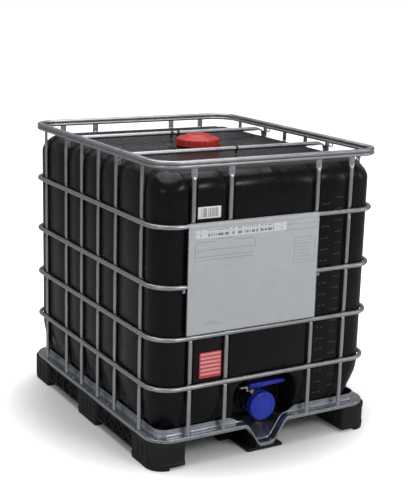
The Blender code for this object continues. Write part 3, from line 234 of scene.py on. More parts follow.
RUBBER = moulded("seal_rubber", (0.035, 0.035, 0.035), (0.055, 0.055, 0.055), 0.70, 0.82, 500.0, 0.15)
MARK_PLASTIC = moulded("rubbed_marks", (0.030, 0.030, 0.033), (0.075, 0.075, 0.080), 0.40, 0.50, 400.0, 0.1)
CLIP_BLACK = moulded("clip_plastic", (0.012, 0.012, 0.012), (0.020, 0.020, 0.020), 0.45, 0.55, 400.0, 0.1)
GREY_PLASTIC = moulded("grey_plastic", (0.38, 0.38, 0.37), (0.46, 0.46, 0.45), 0.45, 0.55, 400.0, 0.1)


# ------------------------------------------------------------ mesh helpers
def build(name, bm, material, body="container", replaces=(), sharp=35, bevel=0.0, segments=2):
    """Close a bmesh into one shaded piece that rides on a body."""
    bmesh.ops.remove_doubles(bm, verts=bm.verts, dist=1e-6)
    bmesh.ops.recalc_face_normals(bm, faces=bm.faces)
    mesh = bpy.data.meshes.new(name)
    bm.to_mesh(mesh)
    bm.free()
    mesh.shade_smooth()
    mesh.set_sharp_from_angle(angle=math.radians(sharp))
    mesh.materials.append(material)
    piece = bpy.data.objects.new(name, mesh)
    bpy.context.scene.collection.objects.link(piece)
    if bevel:
        modifier = piece.modifiers.new("edge", 'BEVEL')
        modifier.width = bevel
        modifier.segments = segments
        modifier.limit_method = 'ANGLE'
        modifier.angle_limit = math.radians(40)
        modifier.harden_normals = True
    if body:
        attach(piece, body)
    if replaces:
        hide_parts(*replaces)
    return piece


def loft(bm, rings, closed_path=False, caps=True):
    loops = [[bm.verts.new(p) for p in ring] for ring in rings]
    pairs = list(zip(loops, loops[1:]))
    if closed_path:
        pairs.append((loops[-1], loops[0]))
    for low, high in pairs:
        count = len(low)
        for i in range(count):
            j = (i + 1) % count
            bm.faces.new((low[i], low[j], high[j], high[i]))
    if caps and not closed_path:
        bm.faces.new(loops[0])
        bm.faces.new(loops[-1])
    return loops


def turned(bm, profile, at=(0, 0, 0), axis='Z', sides=64, lobe=None):
    """Turn (radius, height) points; heights run up Z, or towards -Y or +X."""
    centre = Vector(at)
    loops = []
    for radius, height in profile:
        ring = []
        for i in range(1 if radius == 0 else sides):
            angle = 2 * math.pi * i / sides
            r = radius * (lobe(angle, radius, height) if lobe else 1.0)
            a, b = r * math.cos(angle), r * math.sin(angle)
            point = {'Z': (a, b, height), 'Y': (a, -height, b), 'X': (height, a, b)}[axis]
            ring.append(bm.verts.new(centre + Vector(point)))
        loops.append(ring)
    pairs = list(zip(loops, loops[1:]))
    if profile[0][0] != 0:
        pairs.append((loops[-1], loops[0]))
    for low, high in pairs:
        for i in range(sides):
            j = (i + 1) % sides
            corners = [low[i % len(low)], low[j % len(low)], high[j % len(high)], high[i % len(high)]]
            bm.faces.new(list(dict.fromkeys(corners)))


def block(bm, low, high, bevel=0.0, segments=2):
    """A box with its edges rounded."""
    made = bmesh.ops.create_cube(bm, size=1.0)["verts"]
    for vert in made:
        for i in range(3):
            vert.co[i] = low[i] if vert.co[i] < 0 else high[i]
    if bevel:
        edges = list({e for v in made for e in v.link_edges})
        bmesh.ops.bevel(bm, geom=edges, offset=bevel, segments=segments, profile=0.5, affect='EDGES')


def tube(bm, path, radius, sides=16, caps=True):
    """A round bar along a path of points."""
    rings = []
    points = [Vector(p) for p in path]
    normal = None
    for i, point in enumerate(points):
        run = (points[min(i + 1, len(points) - 1)] - points[max(i - 1, 0)]).normalized()
        if normal is None:
            normal = run.orthogonal().normalized()
        normal = (normal - run * normal.dot(run)).normalized()
        side = run.cross(normal)
        r = radius[i] if isinstance(radius, (list, tuple)) else radius
        rings.append([point + normal * r * math.cos(2 * math.pi * k / sides)
                      + side * r * math.sin(2 * math.pi * k / sides)
                      for k in range(sides)])
    loft(bm, rings, caps=caps)


def cut(piece, *cutters):
    """Subtract closed bmeshes from a piece and keep the result as plain mesh."""
    for number, bm in enumerate(cutters):
        bmesh.ops.recalc_face_normals(bm, faces=bm.faces)
        mesh = bpy.data.meshes.new(f"cutter_{number}")
        bm.to_mesh(mesh)
        bm.free()
        tool = bpy.data.objects.new(f"cutter_{number}", mesh)
        bpy.context.scene.collection.objects.link(tool)
        modifier = piece.modifiers.new("cut", 'BOOLEAN')
        modifier.operation = 'DIFFERENCE'
        modifier.solver = 'EXACT'
        modifier.object = tool
        bpy.context.view_layer.update()
        done = bpy.data.meshes.new_from_object(piece.evaluated_get(bpy.context.evaluated_depsgraph_get()))
        piece.modifiers.clear()
        piece.data = done
        bpy.data.objects.remove(tool)
    piece.data.shade_smooth()
    piece.data.set_sharp_from_angle(angle=math.radians(32))


def plan(half_x, half_y, radius, steps, front=(), back=(), side=()):
    """Rounded rectangle in plan, anticlockwise from the front right corner, with its outward normals."""
    corners = ((half_x - radius, -(half_y - radius), -90), (half_x - radius, half_y - radius, 0),
               (-(half_x - radius), half_y - radius, 90), (-(half_x - radius), -(half_y - radius), 180))
    edges = ([(half_x, y, 1, 0) for y in sorted(side)],
             [(x, half_y, 0, 1) for x in sorted(back, reverse=True)],
             [(-half_x, y, -1, 0) for y in sorted(side, reverse=True)],
             [(x, -half_y, 0, -1) for x in sorted(front)])
    points = []
    for (cx, cy, start), edge in zip(corners, edges):
        for i in range(steps + 1):
            a = math.radians(start + 90 * i / steps)
            points.append((cx + radius * math.cos(a), cy + radius * math.sin(a), math.cos(a), math.sin(a)))
        points.extend(edge)
    return points


def smooth(t):
    t = min(max(t, 0.0), 1.0)
    return t * t * (3 - 2 * t)


# ------------------------------------------------------------ cage
def crossing_stations(centres, reach):
    """Stations along a straight run, closer together where an upright crosses."""
    marks = []
    for c in centres:
        marks += [c + d for d in (-reach, -0.014, -0.010, -0.006, 0.0, 0.006, 0.010, 0.014, reach)]
    return marks


def build_hoop(number):
    """A bent tube, pressed a little flat on its inner side where each upright is welded on."""
    height = HOOP_HEIGHTS[number - 1]
    stations = plan(HOOP_X, HOOP_Y, CAGE_CORNER, 14, crossing_stations(FRONT_X, 0.022),
                    crossing_stations(FRONT_X, 0.022), crossing_stations(SIDE_Y, 0.022))
    sides = 18
    rings = []
    for x, y, nx, ny in stations:
        centres = FRONT_X if abs(nx) < 1e-6 else SIDE_Y if abs(ny) < 1e-6 else []
        along = x if abs(nx) < 1e-6 else y
        gap = min([abs(along - c) for c in centres] or [1.0])
        press = 1.0 - smooth((gap - 0.006) / 0.012)
        ring = []
        for k in range(sides):
            a = 2 * math.pi * k / sides
            out = HOOP_RADIUS * math.cos(a)
            up = HOOP_RADIUS * math.sin(a) * (1 + 0.07 * press)
            if out < 0:
                out *= 1 - 0.28 * press
            else:
                out *= 1 - 0.10 * press
            ring.append((x + nx * out, y + ny * out, height + up))
        rings.append(ring)
    bm = bmesh.new()
    loft(bm, rings, closed_path=True)
    build(f"hoop_bar_{number}", bm, STEEL, replaces=[f"hoop_{number}"], sharp=60)


def upright_section(z):
    """Width, depth, outward shift and front dent of an upright tube at a height."""
    width = depth = TUBE_RADIUS
    shift = dent = 0.0
    for height in HOOP_HEIGHTS:
        gap = abs(z - height)
        squeeze = 1.0 - smooth((gap - 0.0075) / 0.0085)
        pinch = math.exp(-((gap - 0.0205) / 0.0060) ** 2)
        width += 0.0014 * squeeze - 0.0008 * pinch
        depth -= 0.0050 * squeeze
        shift -= 0.0048 * squeeze
        dent += 0.0030 * pinch
    top = smooth((z - (RIM_LOW - 0.044)) / 0.014)
    width += 0.0046 * top
    depth -= 0.0056 * top
    shift += 0.0020 * top
    foot = 1.0 - smooth((z - UPRIGHT_FOOT - 0.006) / 0.018)
    width += 0.0020 * foot
    depth -= 0.0035 * foot
    shift += 0.0030 * foot
    return width, depth, shift, dent


def upright_heights():
    top = RIM_LOW + 0.006
    marks = {UPRIGHT_FOOT, UPRIGHT_FOOT + 0.006, UPRIGHT_FOOT + 0.012, UPRIGHT_FOOT + 0.018,
             UPRIGHT_FOOT + 0.026, top}
    for height in HOOP_HEIGHTS:
        for step in (0.0, 0.005, 0.008, 0.011, 0.014, 0.017, 0.020, 0.023, 0.026, 0.030, 0.036, 0.042):
            marks |= {height - step, height + step}
    marks |= {RIM_LOW - 0.048 + 0.003 * i for i in range(16)}
    return sorted(z for z in marks if UPRIGHT_FOOT <= z <= top)


def build_uprights():
    sides = 20
    heights = upright_heights()
    for name, centre in UPRIGHTS.items():
        out = Vector((0, math.copysign(1, centre.y), 0)) if "front" in name or "rear" in name else \
            Vector((math.copysign(1, centre.x), 0, 0))
        across = Vector((0, 0, 1)).cross(out)
        rings = []
        for z in heights:
            width, depth, shift, dent = upright_section(z)
            ring = []
            for k in range(sides):
                a = 2 * math.pi * k / sides
                o = math.copysign(abs(math.cos(a)) ** 0.9, math.cos(a)) * depth + shift
                if math.cos(a) > 0:
                    o -= dent * max(0.0, math.cos(a)) ** 3
                point = Vector((centre.x, centre.y, z)) + out * o + across * (math.sin(a) * width)
                ring.append(point)
            rings.append(ring)
        bm = bmesh.new()
        loft(bm, rings)
        build(name.replace("upright_", "tube_"), bm, STEEL, replaces=[name],
              sharp=55)
        spot = Vector((centre.x, centre.y, RIM_LOW - 0.016)) + out * 0.0049
        bm = bmesh.new()
        turned(bm, [(0, 0.0022), (0.0022, 0.0019), (0.0038, 0.0009), (0.0042, -0.001), (0, -0.001)], sides=16)
        turn = Vector((0, 0, 1)).rotation_difference(out).to_matrix().to_4x4()
        bmesh.ops.transform(bm, matrix=Matrix.Translation(spot) @ turn, verts=bm.verts)
        build(name.replace("upright_", "rivet_"), bm, BEAD, sharp=50)


def build_rim():
    """Two round beads with a rolled groove between them, on both faces."""
    high = (RIM_TOP - RIM_LOW) / 2
    profile = []
    for k in range(9):
        a = math.radians(-90 + 180 * k / 8)
        profile.append((RIM_HALF - 0.0068 + 0.0068 * math.cos(a), high / 2 + 0.0068 * math.sin(a)))
    for k in range(9):
        a = math.radians(-90 + 180 * k / 8)
        profile.append((RIM_HALF - 0.0070 + 0.0070 * math.cos(a), high * 1.5 + 0.0070 * math.sin(a)))
    inner = [(-o, u) for o, u in reversed(profile)]
    section = profile + inner
    rings = []
    for out, up in section:
        rings.append([(x, y, RIM_LOW + up) for x, y, _,
                      _ in plan(RIM_X + out, RIM_Y + out, CAGE_CORNER - 0.003 + out, 16)])
    bm = bmesh.new()
    loft(bm, rings, closed_path=True)
    build("rim_beads", bm, BEAD, replaces=["top_rim"], sharp=50)
    bm = bmesh.new()
    for x in (-0.020, 0.020):
        turned(bm, [(0, 0.0016), (0.0035, 0.0012), (0.0045, 0), (0, 0)],
               at=(x - 0.06, RIM_Y, RIM_TOP - 0.0014), sides=16)
    block(bm, (-0.105, RIM_Y - 0.0095, RIM_TOP - 0.006), (-0.015, RIM_Y + 0.0095, RIM_TOP - 0.0008), 0.0022,
          3)
    build("rim_joint", bm, BEAD, sharp=50)


def build_crossbars():
    for label, y in (("front", -BAR_Y), ("rear", BAR_Y)):
        face = UPRIGHT_X - TUBE_RADIUS - 0.0022
        half = [(0.0, 0.0, 0.009, 0.009), (0.12, 0.0, 0.009, 0.009), (0.30, 0.0, 0.009, 0.009),
                (face - 0.050, 0.0, 0.009, 0.009), (face - 0.036, -0.0005, 0.0096, 0.0078),
                (face - 0.024, -0.002, 0.0108, 0.0055), (face - 0.013, -0.0055, 0.0118, 0.0034),
                (face - 0.005, -0.0110, 0.0121, 0.0022), (face - 0.0012, -0.0180, 0.0122, 0.0018),
                (face, -0.0260, 0.0121, 0.0017), (face, -0.0335, 0.0100, 0.0017),
                (face, -0.0365, 0.0060, 0.0017)]
        path = [(-x, z, w, t) for x, z, w, t in reversed(half[1:])] + half
        rings = []
        for i, (x, z, wide, thick) in enumerate(path):
            before, after = path[max(i - 1, 0)], path[min(i + 1, len(path) - 1)]
            run = Vector((after[0] - before[0], 0, after[1] - before[1])).normalized()
            normal = Vector((-run.z, 0, run.x))
            rings.append([Vector((x, y + wide * math.cos(2 * math.pi * k / 20), BAR_Z + z))
                          + normal * thick * math.sin(2 * math.pi * k / 20) for k in range(20)])
        bm = bmesh.new()
        loft(bm, rings)
        build(f"bar_{label}", bm, BEAD, replaces=[f"crossbar_{label}"], sharp=50)
        for side, sign in (("left", -1), ("right", 1)):
            bm = bmesh.new()
            for z in (-0.0150, -0.0290):
                head = [(0, -0.0042), (0.0045, -0.0042), (0.0062, -0.0026), (0.0064, 0.0), (0, 0.0)]
                turned(bm, [(r, sign * h) for r, h in head], at=(sign * (face - 0.0016), y, BAR_Z + z),
                       axis='X', sides=20)
            build(f"bolts_{label}_{side}", bm, BEAD,
                  replaces=[f"screw_{label}_{side}"], sharp=40)
            bm = bmesh.new()
            rings = []
            for k in range(28):
                a = 2 * math.pi * k / 28
                centre = (sign * (UPRIGHT_X + 0.003), y - 0.0235 + 0.0125 * math.cos(a),
                          RIM_LOW - 0.0065 + 0.0075 * math.sin(a))
                inward = Vector((0, math.cos(a), math.sin(a)))
                rings.append([Vector(centre) + inward * 0.0026 * math.cos(b)
                              + Vector((sign * 0.0024 * math.sin(b), 0, 0))
                              for b in [2 * math.pi * n / 10 for n in range(10)]])
            loft(bm, rings, closed_path=True)
            build(f"bar_ear_{label}_{side}", bm, STEEL, sharp=60)
    for name, x, y in (("front", 0.040, -BAR_Y), ("rear_a", 0.004, BAR_Y), ("rear_b", 0.034, BAR_Y)):
        bm = bmesh.new()
        turned(bm,
               [(0.0091, -0.0045), (0.0116, -0.0045), (0.0122, -0.0036), (0.0122, 0.0036), (0.0116, 0.0045),
                    (0.0091, 0.0045)], at=(x, y, BAR_Z), axis='X', sides=32)
        block(bm, (x - 0.0045, y - 0.004, BAR_Z - 0.0215), (x + 0.0045, y + 0.004, BAR_Z - 0.0105), 0.0012)
        build(f"bar_clip_{name}", bm, CLIP_BLACK, sharp=40)


for number in range(1, 5):
    build_hoop(number)
build_uprights()
build_rim()
build_crossbars()


# ------------------------------------------------------------ deck tray
CHUTE_TOP, CHUTE_FLOOR, CHUTE_DEPTH, CHUTE_RUN, CHUTE_EASE = 0.100, 0.020, 0.088, 0.150, 0.30
LIP_WIDTH, WALL_HEIGHT = 0.0365, 0.0255


def chute_drop(x, y, depth=CHUTE_DEPTH):
    ramp = min(max((CHUTE_TOP - abs(x)) / (CHUTE_TOP - CHUTE_FLOOR), 0.0), 1.0)
    ease = CHUTE_EASE
    if ramp < ease:
        ramp = ramp * ramp / (2 * ease)
    elif ramp > 1 - ease:
        ramp = 1 - ease - (1 - ramp) ** 2 / (2 * ease)
    else:
        ramp = ramp - ease / 2
    edge = HALF_Y - 0.003 - LIP_WIDTH
    along = (-y - (edge - CHUTE_RUN + LIP_WIDTH)) / (CHUTE_RUN - LIP_WIDTH)
    return depth * ramp / (1 - ease) * min(max(along, 0.0), 1.0)


def tray_row(inset, rise, wall=0.0, floor=False):
    """One closed line of the tray; wall is the share of the upstand's height."""
    marks = [-CHUTE_TOP - 0.08 + 0.005 * i for i in range(73)]
    line = plan(HALF_X - 0.003 - inset, HALF_Y - 0.003 - inset, max(0.085 - inset, 0.012), 14, front=marks)
    ring = []
    for x, y, _, _ in line:
        up = 0.0
        if wall:
            up = WALL_HEIGHT * wall
            if y < 0:
                up *= max(smooth((abs(x) - CHUTE_TOP + 0.004) / 0.064), 0.02)
        drop = chute_drop(x, y, CHUTE_DEPTH - 0.012) if floor else chute_drop(x, y)
        ring.append((x, y, (TRAY_FLOOR if floor else TRAY_LIP) + rise + up - drop))
    return ring


def build_tray():
    lip = LIP_WIDTH
    top = [tray_row(0.0006, -0.0140), tray_row(0.0, -0.0128), tray_row(0.0, -0.0085),
           tray_row(0.0010, -0.0070),
           tray_row(0.0010, -0.0058), tray_row(0.0, -0.0045), tray_row(0.0004, -0.0016),
           tray_row(0.0018, -0.0002),
           tray_row(0.0040, 0.0), tray_row(0.0072, -0.0004), tray_row(0.0086, -0.0018),
           tray_row(0.0112, -0.0020),
           tray_row(0.0128, -0.0006), tray_row(0.0150, -0.0003), tray_row(lip - 0.008, -0.0003),
           tray_row(lip - 0.0035, 0.0004), tray_row(lip - 0.0010, 0.0030, 0.03), tray_row(lip, 0.0040, 0.12),
           tray_row(lip + 0.0004, 0.0, 0.90), tray_row(lip + 0.0001, 0.0, 0.95),
           tray_row(lip + 0.0004, 0.0008, 1.0),
           tray_row(lip + 0.0022, 0.0014, 1.0), tray_row(lip + 0.0040, 0.0006, 1.0),
           tray_row(lip + 0.0044, -0.0012, 1.0),
           tray_row(lip + 0.0030, -0.002, 0.95), tray_row(lip + 0.0032, 0.0, 0.10),
           tray_row(lip + 0.0060, 0.0006, floor=True)]
    insets = [lip + 0.010, 0.080, 0.110, CHUTE_RUN + 0.001]
    top += [tray_row(i, 0.0, floor=True) for i in insets]
    bottom = [tray_row(0.0026, -0.0140), tray_row(0.0026, -0.0030), tray_row(lip - 0.001, -0.0016),
              tray_row(lip + 0.0008, -0.0014, floor=True)]
    bottom += [tray_row(i, -0.0014, floor=True) for i in insets]
    bm = bmesh.new()
    loft(bm, bottom[::-1] + top)
    build("tray_pressing", bm, DECK, replaces=["deck_tray"], sharp=50)
    bm = bmesh.new()
    spots = [(-0.425, -0.570), (-0.455, -0.548), (0.425, -0.570), (0.455, -0.548), (-0.4815, -0.170),
             (-0.4815, 0.170),
             (0.4815, -0.170), (0.4815, 0.170), (-0.425, 0.570), (0.425, 0.570), (-0.14, -0.584),
             (0.14, -0.584)]
    for x, y in spots:
        turned(bm, [(0, 0.0024), (0.003, 0.0021), (0.0052, 0.0008), (0.0058, -0.001), (0, -0.001)],
               at=(x, y, TRAY_LIP), sides=18)
    build("tray_rivets", bm, BEAD, sharp=50)


build_tray()


# ------------------------------------------------------------ pallet
def foot_line(low, high, inset, radius, wide_corner):
    """Plan of a foot; the corner with the wide radius is given by its X and Y signs."""
    line = []
    for sx, sy, start in ((1, -1, -90), (1, 1, 0), (-1, 1, 90), (-1, -1, 180)):
        r = max((0.070 if (sx, sy) == wide_corner else radius) - inset, 0.001)
        cx = (high.x if sx > 0 else low.x) - sx * (inset + r)
        cy = (high.y if sy > 0 else low.y) - sy * (inset + r)
        for i in range(13):
            a = math.radians(start + 90 * i / 12)
            line.append((cx + r * math.cos(a), cy + r * math.sin(a)))
    return line


def build_feet():
    """Each foot: a smooth block on a sole, with a slanted step and shallow upright flutes."""
    for name in sorted(n for n in NODES if n.startswith("foot_") and n != "foot_front_centre"):
        low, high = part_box(name)
        centre = (low + high) / 2
        outer = 0 if abs(centre.x) < 0.01 else math.copysign(1, centre.x)
        corner = (outer, math.copysign(1, centre.y)) if outer and abs(centre.y) > 0.1 else None
        if outer:
            tread = (high.x - 0.075, high.x) if outer > 0 else (low.x, low.x + 0.075)
        else:
            tread = (centre.x - 0.0375, centre.x + 0.0375)
        bm = bmesh.new()
        levels = [(0.0035, 0.0102), (0.0008, 0.0118), (0.0, 0.0150), (0.0, 0.0230), (0.0012, 0.0246),
                  (0.0022, 0.0262),
                  (0.0022, high.z - 0.0180), (0.0012, high.z - 0.0164), (0.0, high.z - 0.0148),
                  (0.0, high.z - 0.0016),
                  (0.0016, high.z)]
        loft(bm, [[(x, y, z) for x, y in foot_line(low, high, inset, 0.012, corner)] for inset, z in levels])
        sole_low, sole_high = Vector((tread[0], low.y, 0)), Vector((tread[1], high.y, 0))
        sole = [(0.0045, 0.0), (0.0022, 0.0008), (0.0016, 0.0030), (0.0016, 0.0120)]
        loft(bm,
             [[(x, y, z) for x, y in foot_line(sole_low, sole_high, inset, 0.012, corner)] for inset,
              z in sole])
        for i in range(3):
            y = low.y + (high.y - low.y) * (0.30 + 0.20 * i)
            block(bm, (low.x + 0.0004, y - 0.0016, 0.018), (high.x - 0.0004, y + 0.0016, high.z - 0.010),
                  0.0012)
        build(name.replace("foot_", "block_"), bm, FOOT_PLASTIC, replaces=[name],
              sharp=30)


def build_rails():
    """Side rails: two flanges, a web, and crossed ribs on both faces."""
    for name in sorted(n for n in NODES if n.startswith("rail_")):
        low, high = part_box(name)
        bm = bmesh.new()
        block(bm, (low.x + 0.010, low.y, low.z + 0.002), (high.x - 0.010, high.y, high.z), 0.002)
        block(bm, (low.x, low.y, high.z - 0.010), (high.x, high.y, high.z), 0.002)
        block(bm, (low.x, low.y, low.z), (high.x, high.y, low.z + 0.009), 0.002)
        bays = 4
        run = (high.y - low.y) / bays
        for i in range(bays + 1):
            y = low.y + 0.003 + (high.y - low.y - 0.006) * i / bays
            block(bm, (low.x + 0.0008, y - 0.003, low.z + 0.002),
                  (high.x - 0.0008, y + 0.003, high.z - 0.002), 0.001)
        rise = high.z - low.z - 0.016
        for i in range(bays):
            for lean in (-1, 1):
                part = bmesh.new()
                block(part, (low.x + 0.002, -math.hypot(run, rise) / 2, -0.002),
                      (high.x - 0.002, math.hypot(run, rise) / 2, 0.002), 0.0008)
                turn = Matrix.Rotation(lean * math.atan2(rise, run), 4, 'X')
                shift = Matrix.Translation((0, low.y + run * (i + 0.5), (low.z + high.z) / 2))
                bmesh.ops.transform(part, matrix=shift @ turn, verts=part.verts)
                mesh = bpy.data.meshes.new("rib")
                part.to_mesh(mesh)
                part.free()
                bm.from_mesh(mesh)
                bpy.data.meshes.remove(mesh)
        build(name.replace("rail_", "beam_"), bm, FOOT_PLASTIC, replaces=[name],
              sharp=30)


def build_spout_foot():
    """The front centre foot: a keel under the chute, a flat base with ribs, a block behind."""
    low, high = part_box("foot_front_centre")
    keel = 0.0435
    bm = bmesh.new()
    back = -(HALF_Y - 0.003 - CHUTE_RUN)
    rings = []
    for y in [low.y + 0.0005, low.y + 0.012, low.y + 0.024, -0.5600, -0.5585, -0.540, -0.510, -0.480, back]:
        ring = [(-keel, y, 0.001), (keel, y, 0.001)]
        inside = -y < HALF_Y - 0.003 - LIP_WIDTH
        for i in range(25):
            x = keel - 2 * keel * i / 24
            base = (TRAY_FLOOR if inside else TRAY_LIP) - 0.0026
            drop = chute_drop(x, y, CHUTE_DEPTH - 0.012) if inside else chute_drop(x, y)
            ring.append((x, y, min(base - drop, high.z - 0.001)))
        rings.append(ring)
    loft(bm, rings)
    block(bm, (-0.080, low.y, 0.0), (0.080, high.y, 0.0115), 0.0025, 3)
    block(bm, (low.x, back - 0.002, 0.002), (high.x, high.y, high.z), 0.004, 3)
    for side in (-1, 1):
        for y in (-0.570, -0.530, -0.490):
            x0, x1 = sorted((side * 0.040, side * 0.076))
            block(bm, (x0, y - 0.002, 0.006), (x1, y + 0.002, 0.013), 0.0006)
    build("block_front_centre", bm, FOOT_PLASTIC, replaces=["foot_front_centre"],
          sharp=35)


build_feet()
build_rails()
build_spout_foot()


# ------------------------------------------------------------ tank
GROOVE = 0.0125
TANK_CORNER = 0.091
SHOULDER = 0.068
RECESS_HALF, RECESS_TOP, RECESS_CORNER, RECESS_BACK = 0.142, 0.2938, 0.070, -0.4482
RECESS_FLARE, RECESS_FLARE_DEPTH = 0.020, 0.026


def groove_marks(centres):
    marks = []
    for c in centres:
        for d in (0.0205, 0.0190, 0.0176, 0.0162, 0.0148, 0.0134, 0.0120, 0.0105, 0.0):
            marks += [(c - d, d), (c + d, d)] if d else [(c, 0.0)]
    return marks


FRONT_MARKS = groove_marks(FRONT_X)
SIDE_MARKS = groove_marks(SIDE_Y)


def groove_share(offset):
    """1 on the groove floor, 0 on the panel, rounded between."""
    return 1.0 - smooth((offset - 0.0110) / 0.0092)


def tank_row(inset, z, corner, share=1.0, flare=0.0, pull=0.0):
    """A closed line round the tank; flare widens the grooves, pull draws the corners in."""
    half_x, half_y = TANK_X - inset, TANK_Y - inset

    def spread(marks, centres):
        stations = []
        for c, d in marks:
            side = -1 if c < min(centres, key=lambda m: abs(m - c)) - 1e-9 else 1
            stations.append(c + side * flare * min(1.0, abs(d) / 0.0105))
        return stations

    fronts = spread(FRONT_MARKS, FRONT_X)
    sides = spread(SIDE_MARKS, SIDE_Y)
    mids = [(a + b) / 2 for a, b in zip(FRONT_X, FRONT_X[1:])]
    mids += [m + s * 0.05 for m in mids for s in (-1, 1) if abs(m) < 0.01]
    seam = [-0.0016, -0.0006, 0.0006, 0.0016]
    side_mids = [(a + b) / 2 for a, b in zip(SIDE_Y, SIDE_Y[1:])]
    ring = []
    for x, y, nx, ny in plan(half_x, half_y, corner, 16, fronts + mids + seam, fronts + mids + seam,
                             sides + side_mids):
        depth = pull * 2 * abs(nx * ny)
        if abs(nx) < 1e-6:
            gap = min(abs(x - c) for c in FRONT_X)
            depth = GROOVE * share * groove_share(max(gap - flare, 0.0))
            if abs(x) < 0.001:
                depth -= 0.0007 * share
        elif abs(ny) < 1e-6:
            gap = min(abs(y - c) for c in SIDE_Y)
            depth = GROOVE * share * groove_share(max(gap - flare, 0.0))
        ring.append((x - nx * depth, y - ny * depth, z))
    return ring


def build_bottle():
    """Panels, grooves, shoulders, neck with its thread, and a space inside that ends above the recess."""
    rows = []

    def corner(inset):
        return max(TANK_CORNER - inset, 0.008)

    for i in range(9):
        a = math.pi / 2 * i / 8
        inset = 0.030 + 0.046 * (1 - math.sin(a))
        rows.append(tank_row(inset, TANK_LOW + 0.026 * (1 - math.cos(a)), corner(inset), 0.3 * i / 8,
                             pull=0.022))
    for i in range(1, 9):
        t = i / 8
        inset = 0.030 * (1 - t) ** 2
        rows.append(tank_row(inset, TANK_LOW + 0.026 + 0.150 * t, corner(inset), 0.3 + 0.7 * smooth(t * 1.6),
                             pull=0.022 * (1 - smooth(t))))
    for z in (0.36, 0.50, 0.65, 0.80, 0.92, TANK_TOP - SHOULDER - 0.040):
        rows.append(tank_row(0.0, z, TANK_CORNER))
    for i in range(17):
        a = math.pi / 2 * i / 16
        inset = SHOULDER * (1 - math.cos(a))
        flare = 0.014 * smooth(a / 1.1)
        share = 1.0 - smooth((i - 9) / 6)
        rows.append(tank_row(inset, TANK_TOP - SHOULDER * (1 - math.sin(a)), corner(inset), share, flare,
                             0.020 * smooth(a / 1.2)))
    edge = rows[-1]

    def circle(radius, z):
        """A ring of as many points as the shoulder's last row, spaced by its bearings."""
        ring = []
        for x, y, _ in edge:
            a = math.atan2(y, x)
            ring.append((radius * math.cos(a), radius * math.sin(a), z))
        return ring

    def between(t, z, radius=0.150):
        return [((1 - t) * a[0] + t * b[0], (1 - t) * a[1] + t * b[1], z) for a,
                b in zip(edge, circle(radius, z))]

    rows += [between(0.06, TANK_TOP), between(0.12, TANK_TOP - 0.0035), between(0.18, TANK_TOP - 0.004),
             between(0.6, TANK_TOP - 0.004), between(1.0, TANK_TOP - 0.004), circle(0.130, TANK_TOP - 0.004),
             circle(0.126, TANK_TOP - 0.0032), circle(0.121, TANK_TOP + 0.0012),
             circle(0.117, TANK_TOP + 0.002),
             circle(0.104, TANK_TOP + 0.002), circle(0.100, TANK_TOP + 0.001), circle(0.096, TANK_TOP),
             circle(0.080, TANK_TOP), circle(0.0783, TANK_TOP + 0.0015)]
    neck, bore = 0.078, 0.0735
    rows += [circle(neck, TANK_TOP + 0.003)]
    for base in (0.009, 0.0165):
        rows += [circle(neck, TANK_TOP + base), circle(neck + 0.0022, TANK_TOP + base + 0.0012),
                 circle(neck + 0.0022, TANK_TOP + base + 0.0028), circle(neck, TANK_TOP + base + 0.004)]
    rows += [circle(neck, NECK_TOP - 0.001), circle(neck - 0.001, NECK_TOP), circle(bore + 0.001, NECK_TOP),
             circle(bore, NECK_TOP - 0.001), circle(bore, TANK_TOP - 0.0004),
             circle(bore + 0.003, TANK_TOP - 0.0075)]
    rows += [tank_row(0.086, TANK_TOP - 0.008, 0.008, 0.0),
             tank_row(0.040, TANK_TOP - 0.026, 0.043, 0.0, pull=0.022),
             tank_row(0.016, TANK_TOP - 0.072, 0.067, 0.0, pull=0.004), tank_row(0.016, 0.400, 0.067, 0.0),
             tank_row(0.040, 0.365, 0.043, 0.0, pull=0.012), tank_row(0.086, 0.345, 0.008, 0.0, pull=0.012)]
    bm = bmesh.new()
    loft(bm, rows)
    bottle = build("bottle_moulding", bm, TANK_PLASTIC, replaces=["bottle"],
                   sharp=50)

    def slot_outline(grow):
        half, top, radius = RECESS_HALF + grow, RECESS_TOP + grow, RECESS_CORNER + grow
        points = [(-half, TANK_LOW - 0.05), (half, TANK_LOW - 0.05)]
        for cx, start in ((half - radius, 0), (-(half - radius), 90)):
            for i in range(15):
                a = math.radians(start + 90 * i / 14)
                points.append((cx + radius * math.cos(a), top - radius + radius * math.sin(a)))
        return points

    back = RECESS_BACK
    recess = bmesh.new()
    rings = []
    front = -TANK_Y - 0.0005
    mouth = [(RECESS_FLARE, -0.70), (RECESS_FLARE, front)]
    for i in range(1, 9):
        a = math.pi / 2 * i / 8
        mouth.append((RECESS_FLARE * (1 - math.sin(a)), front + RECESS_FLARE_DEPTH * (1 - math.cos(a))))
    for grow, y in mouth + [(0.0, back - 0.012), (-0.0025, back - 0.004), (-0.008, back)]:
        rings.append([(x, y, z) for x, z in slot_outline(grow)])
    loft(recess, rings)
    cut(bottle, recess)
    bm = bmesh.new()
    turned(bm,
           [(0.034, -0.004), (0.052, -0.004), (0.052, 0.0), (0.048, 0.003), (0.043, 0.006), (0.043, 0.024),
                (0.034, 0.024)], at=(0, back, OUTLET.z), axis='Y')
    build("outlet_neck", bm, TANK_PLASTIC)
    return bottle


build_bottle()


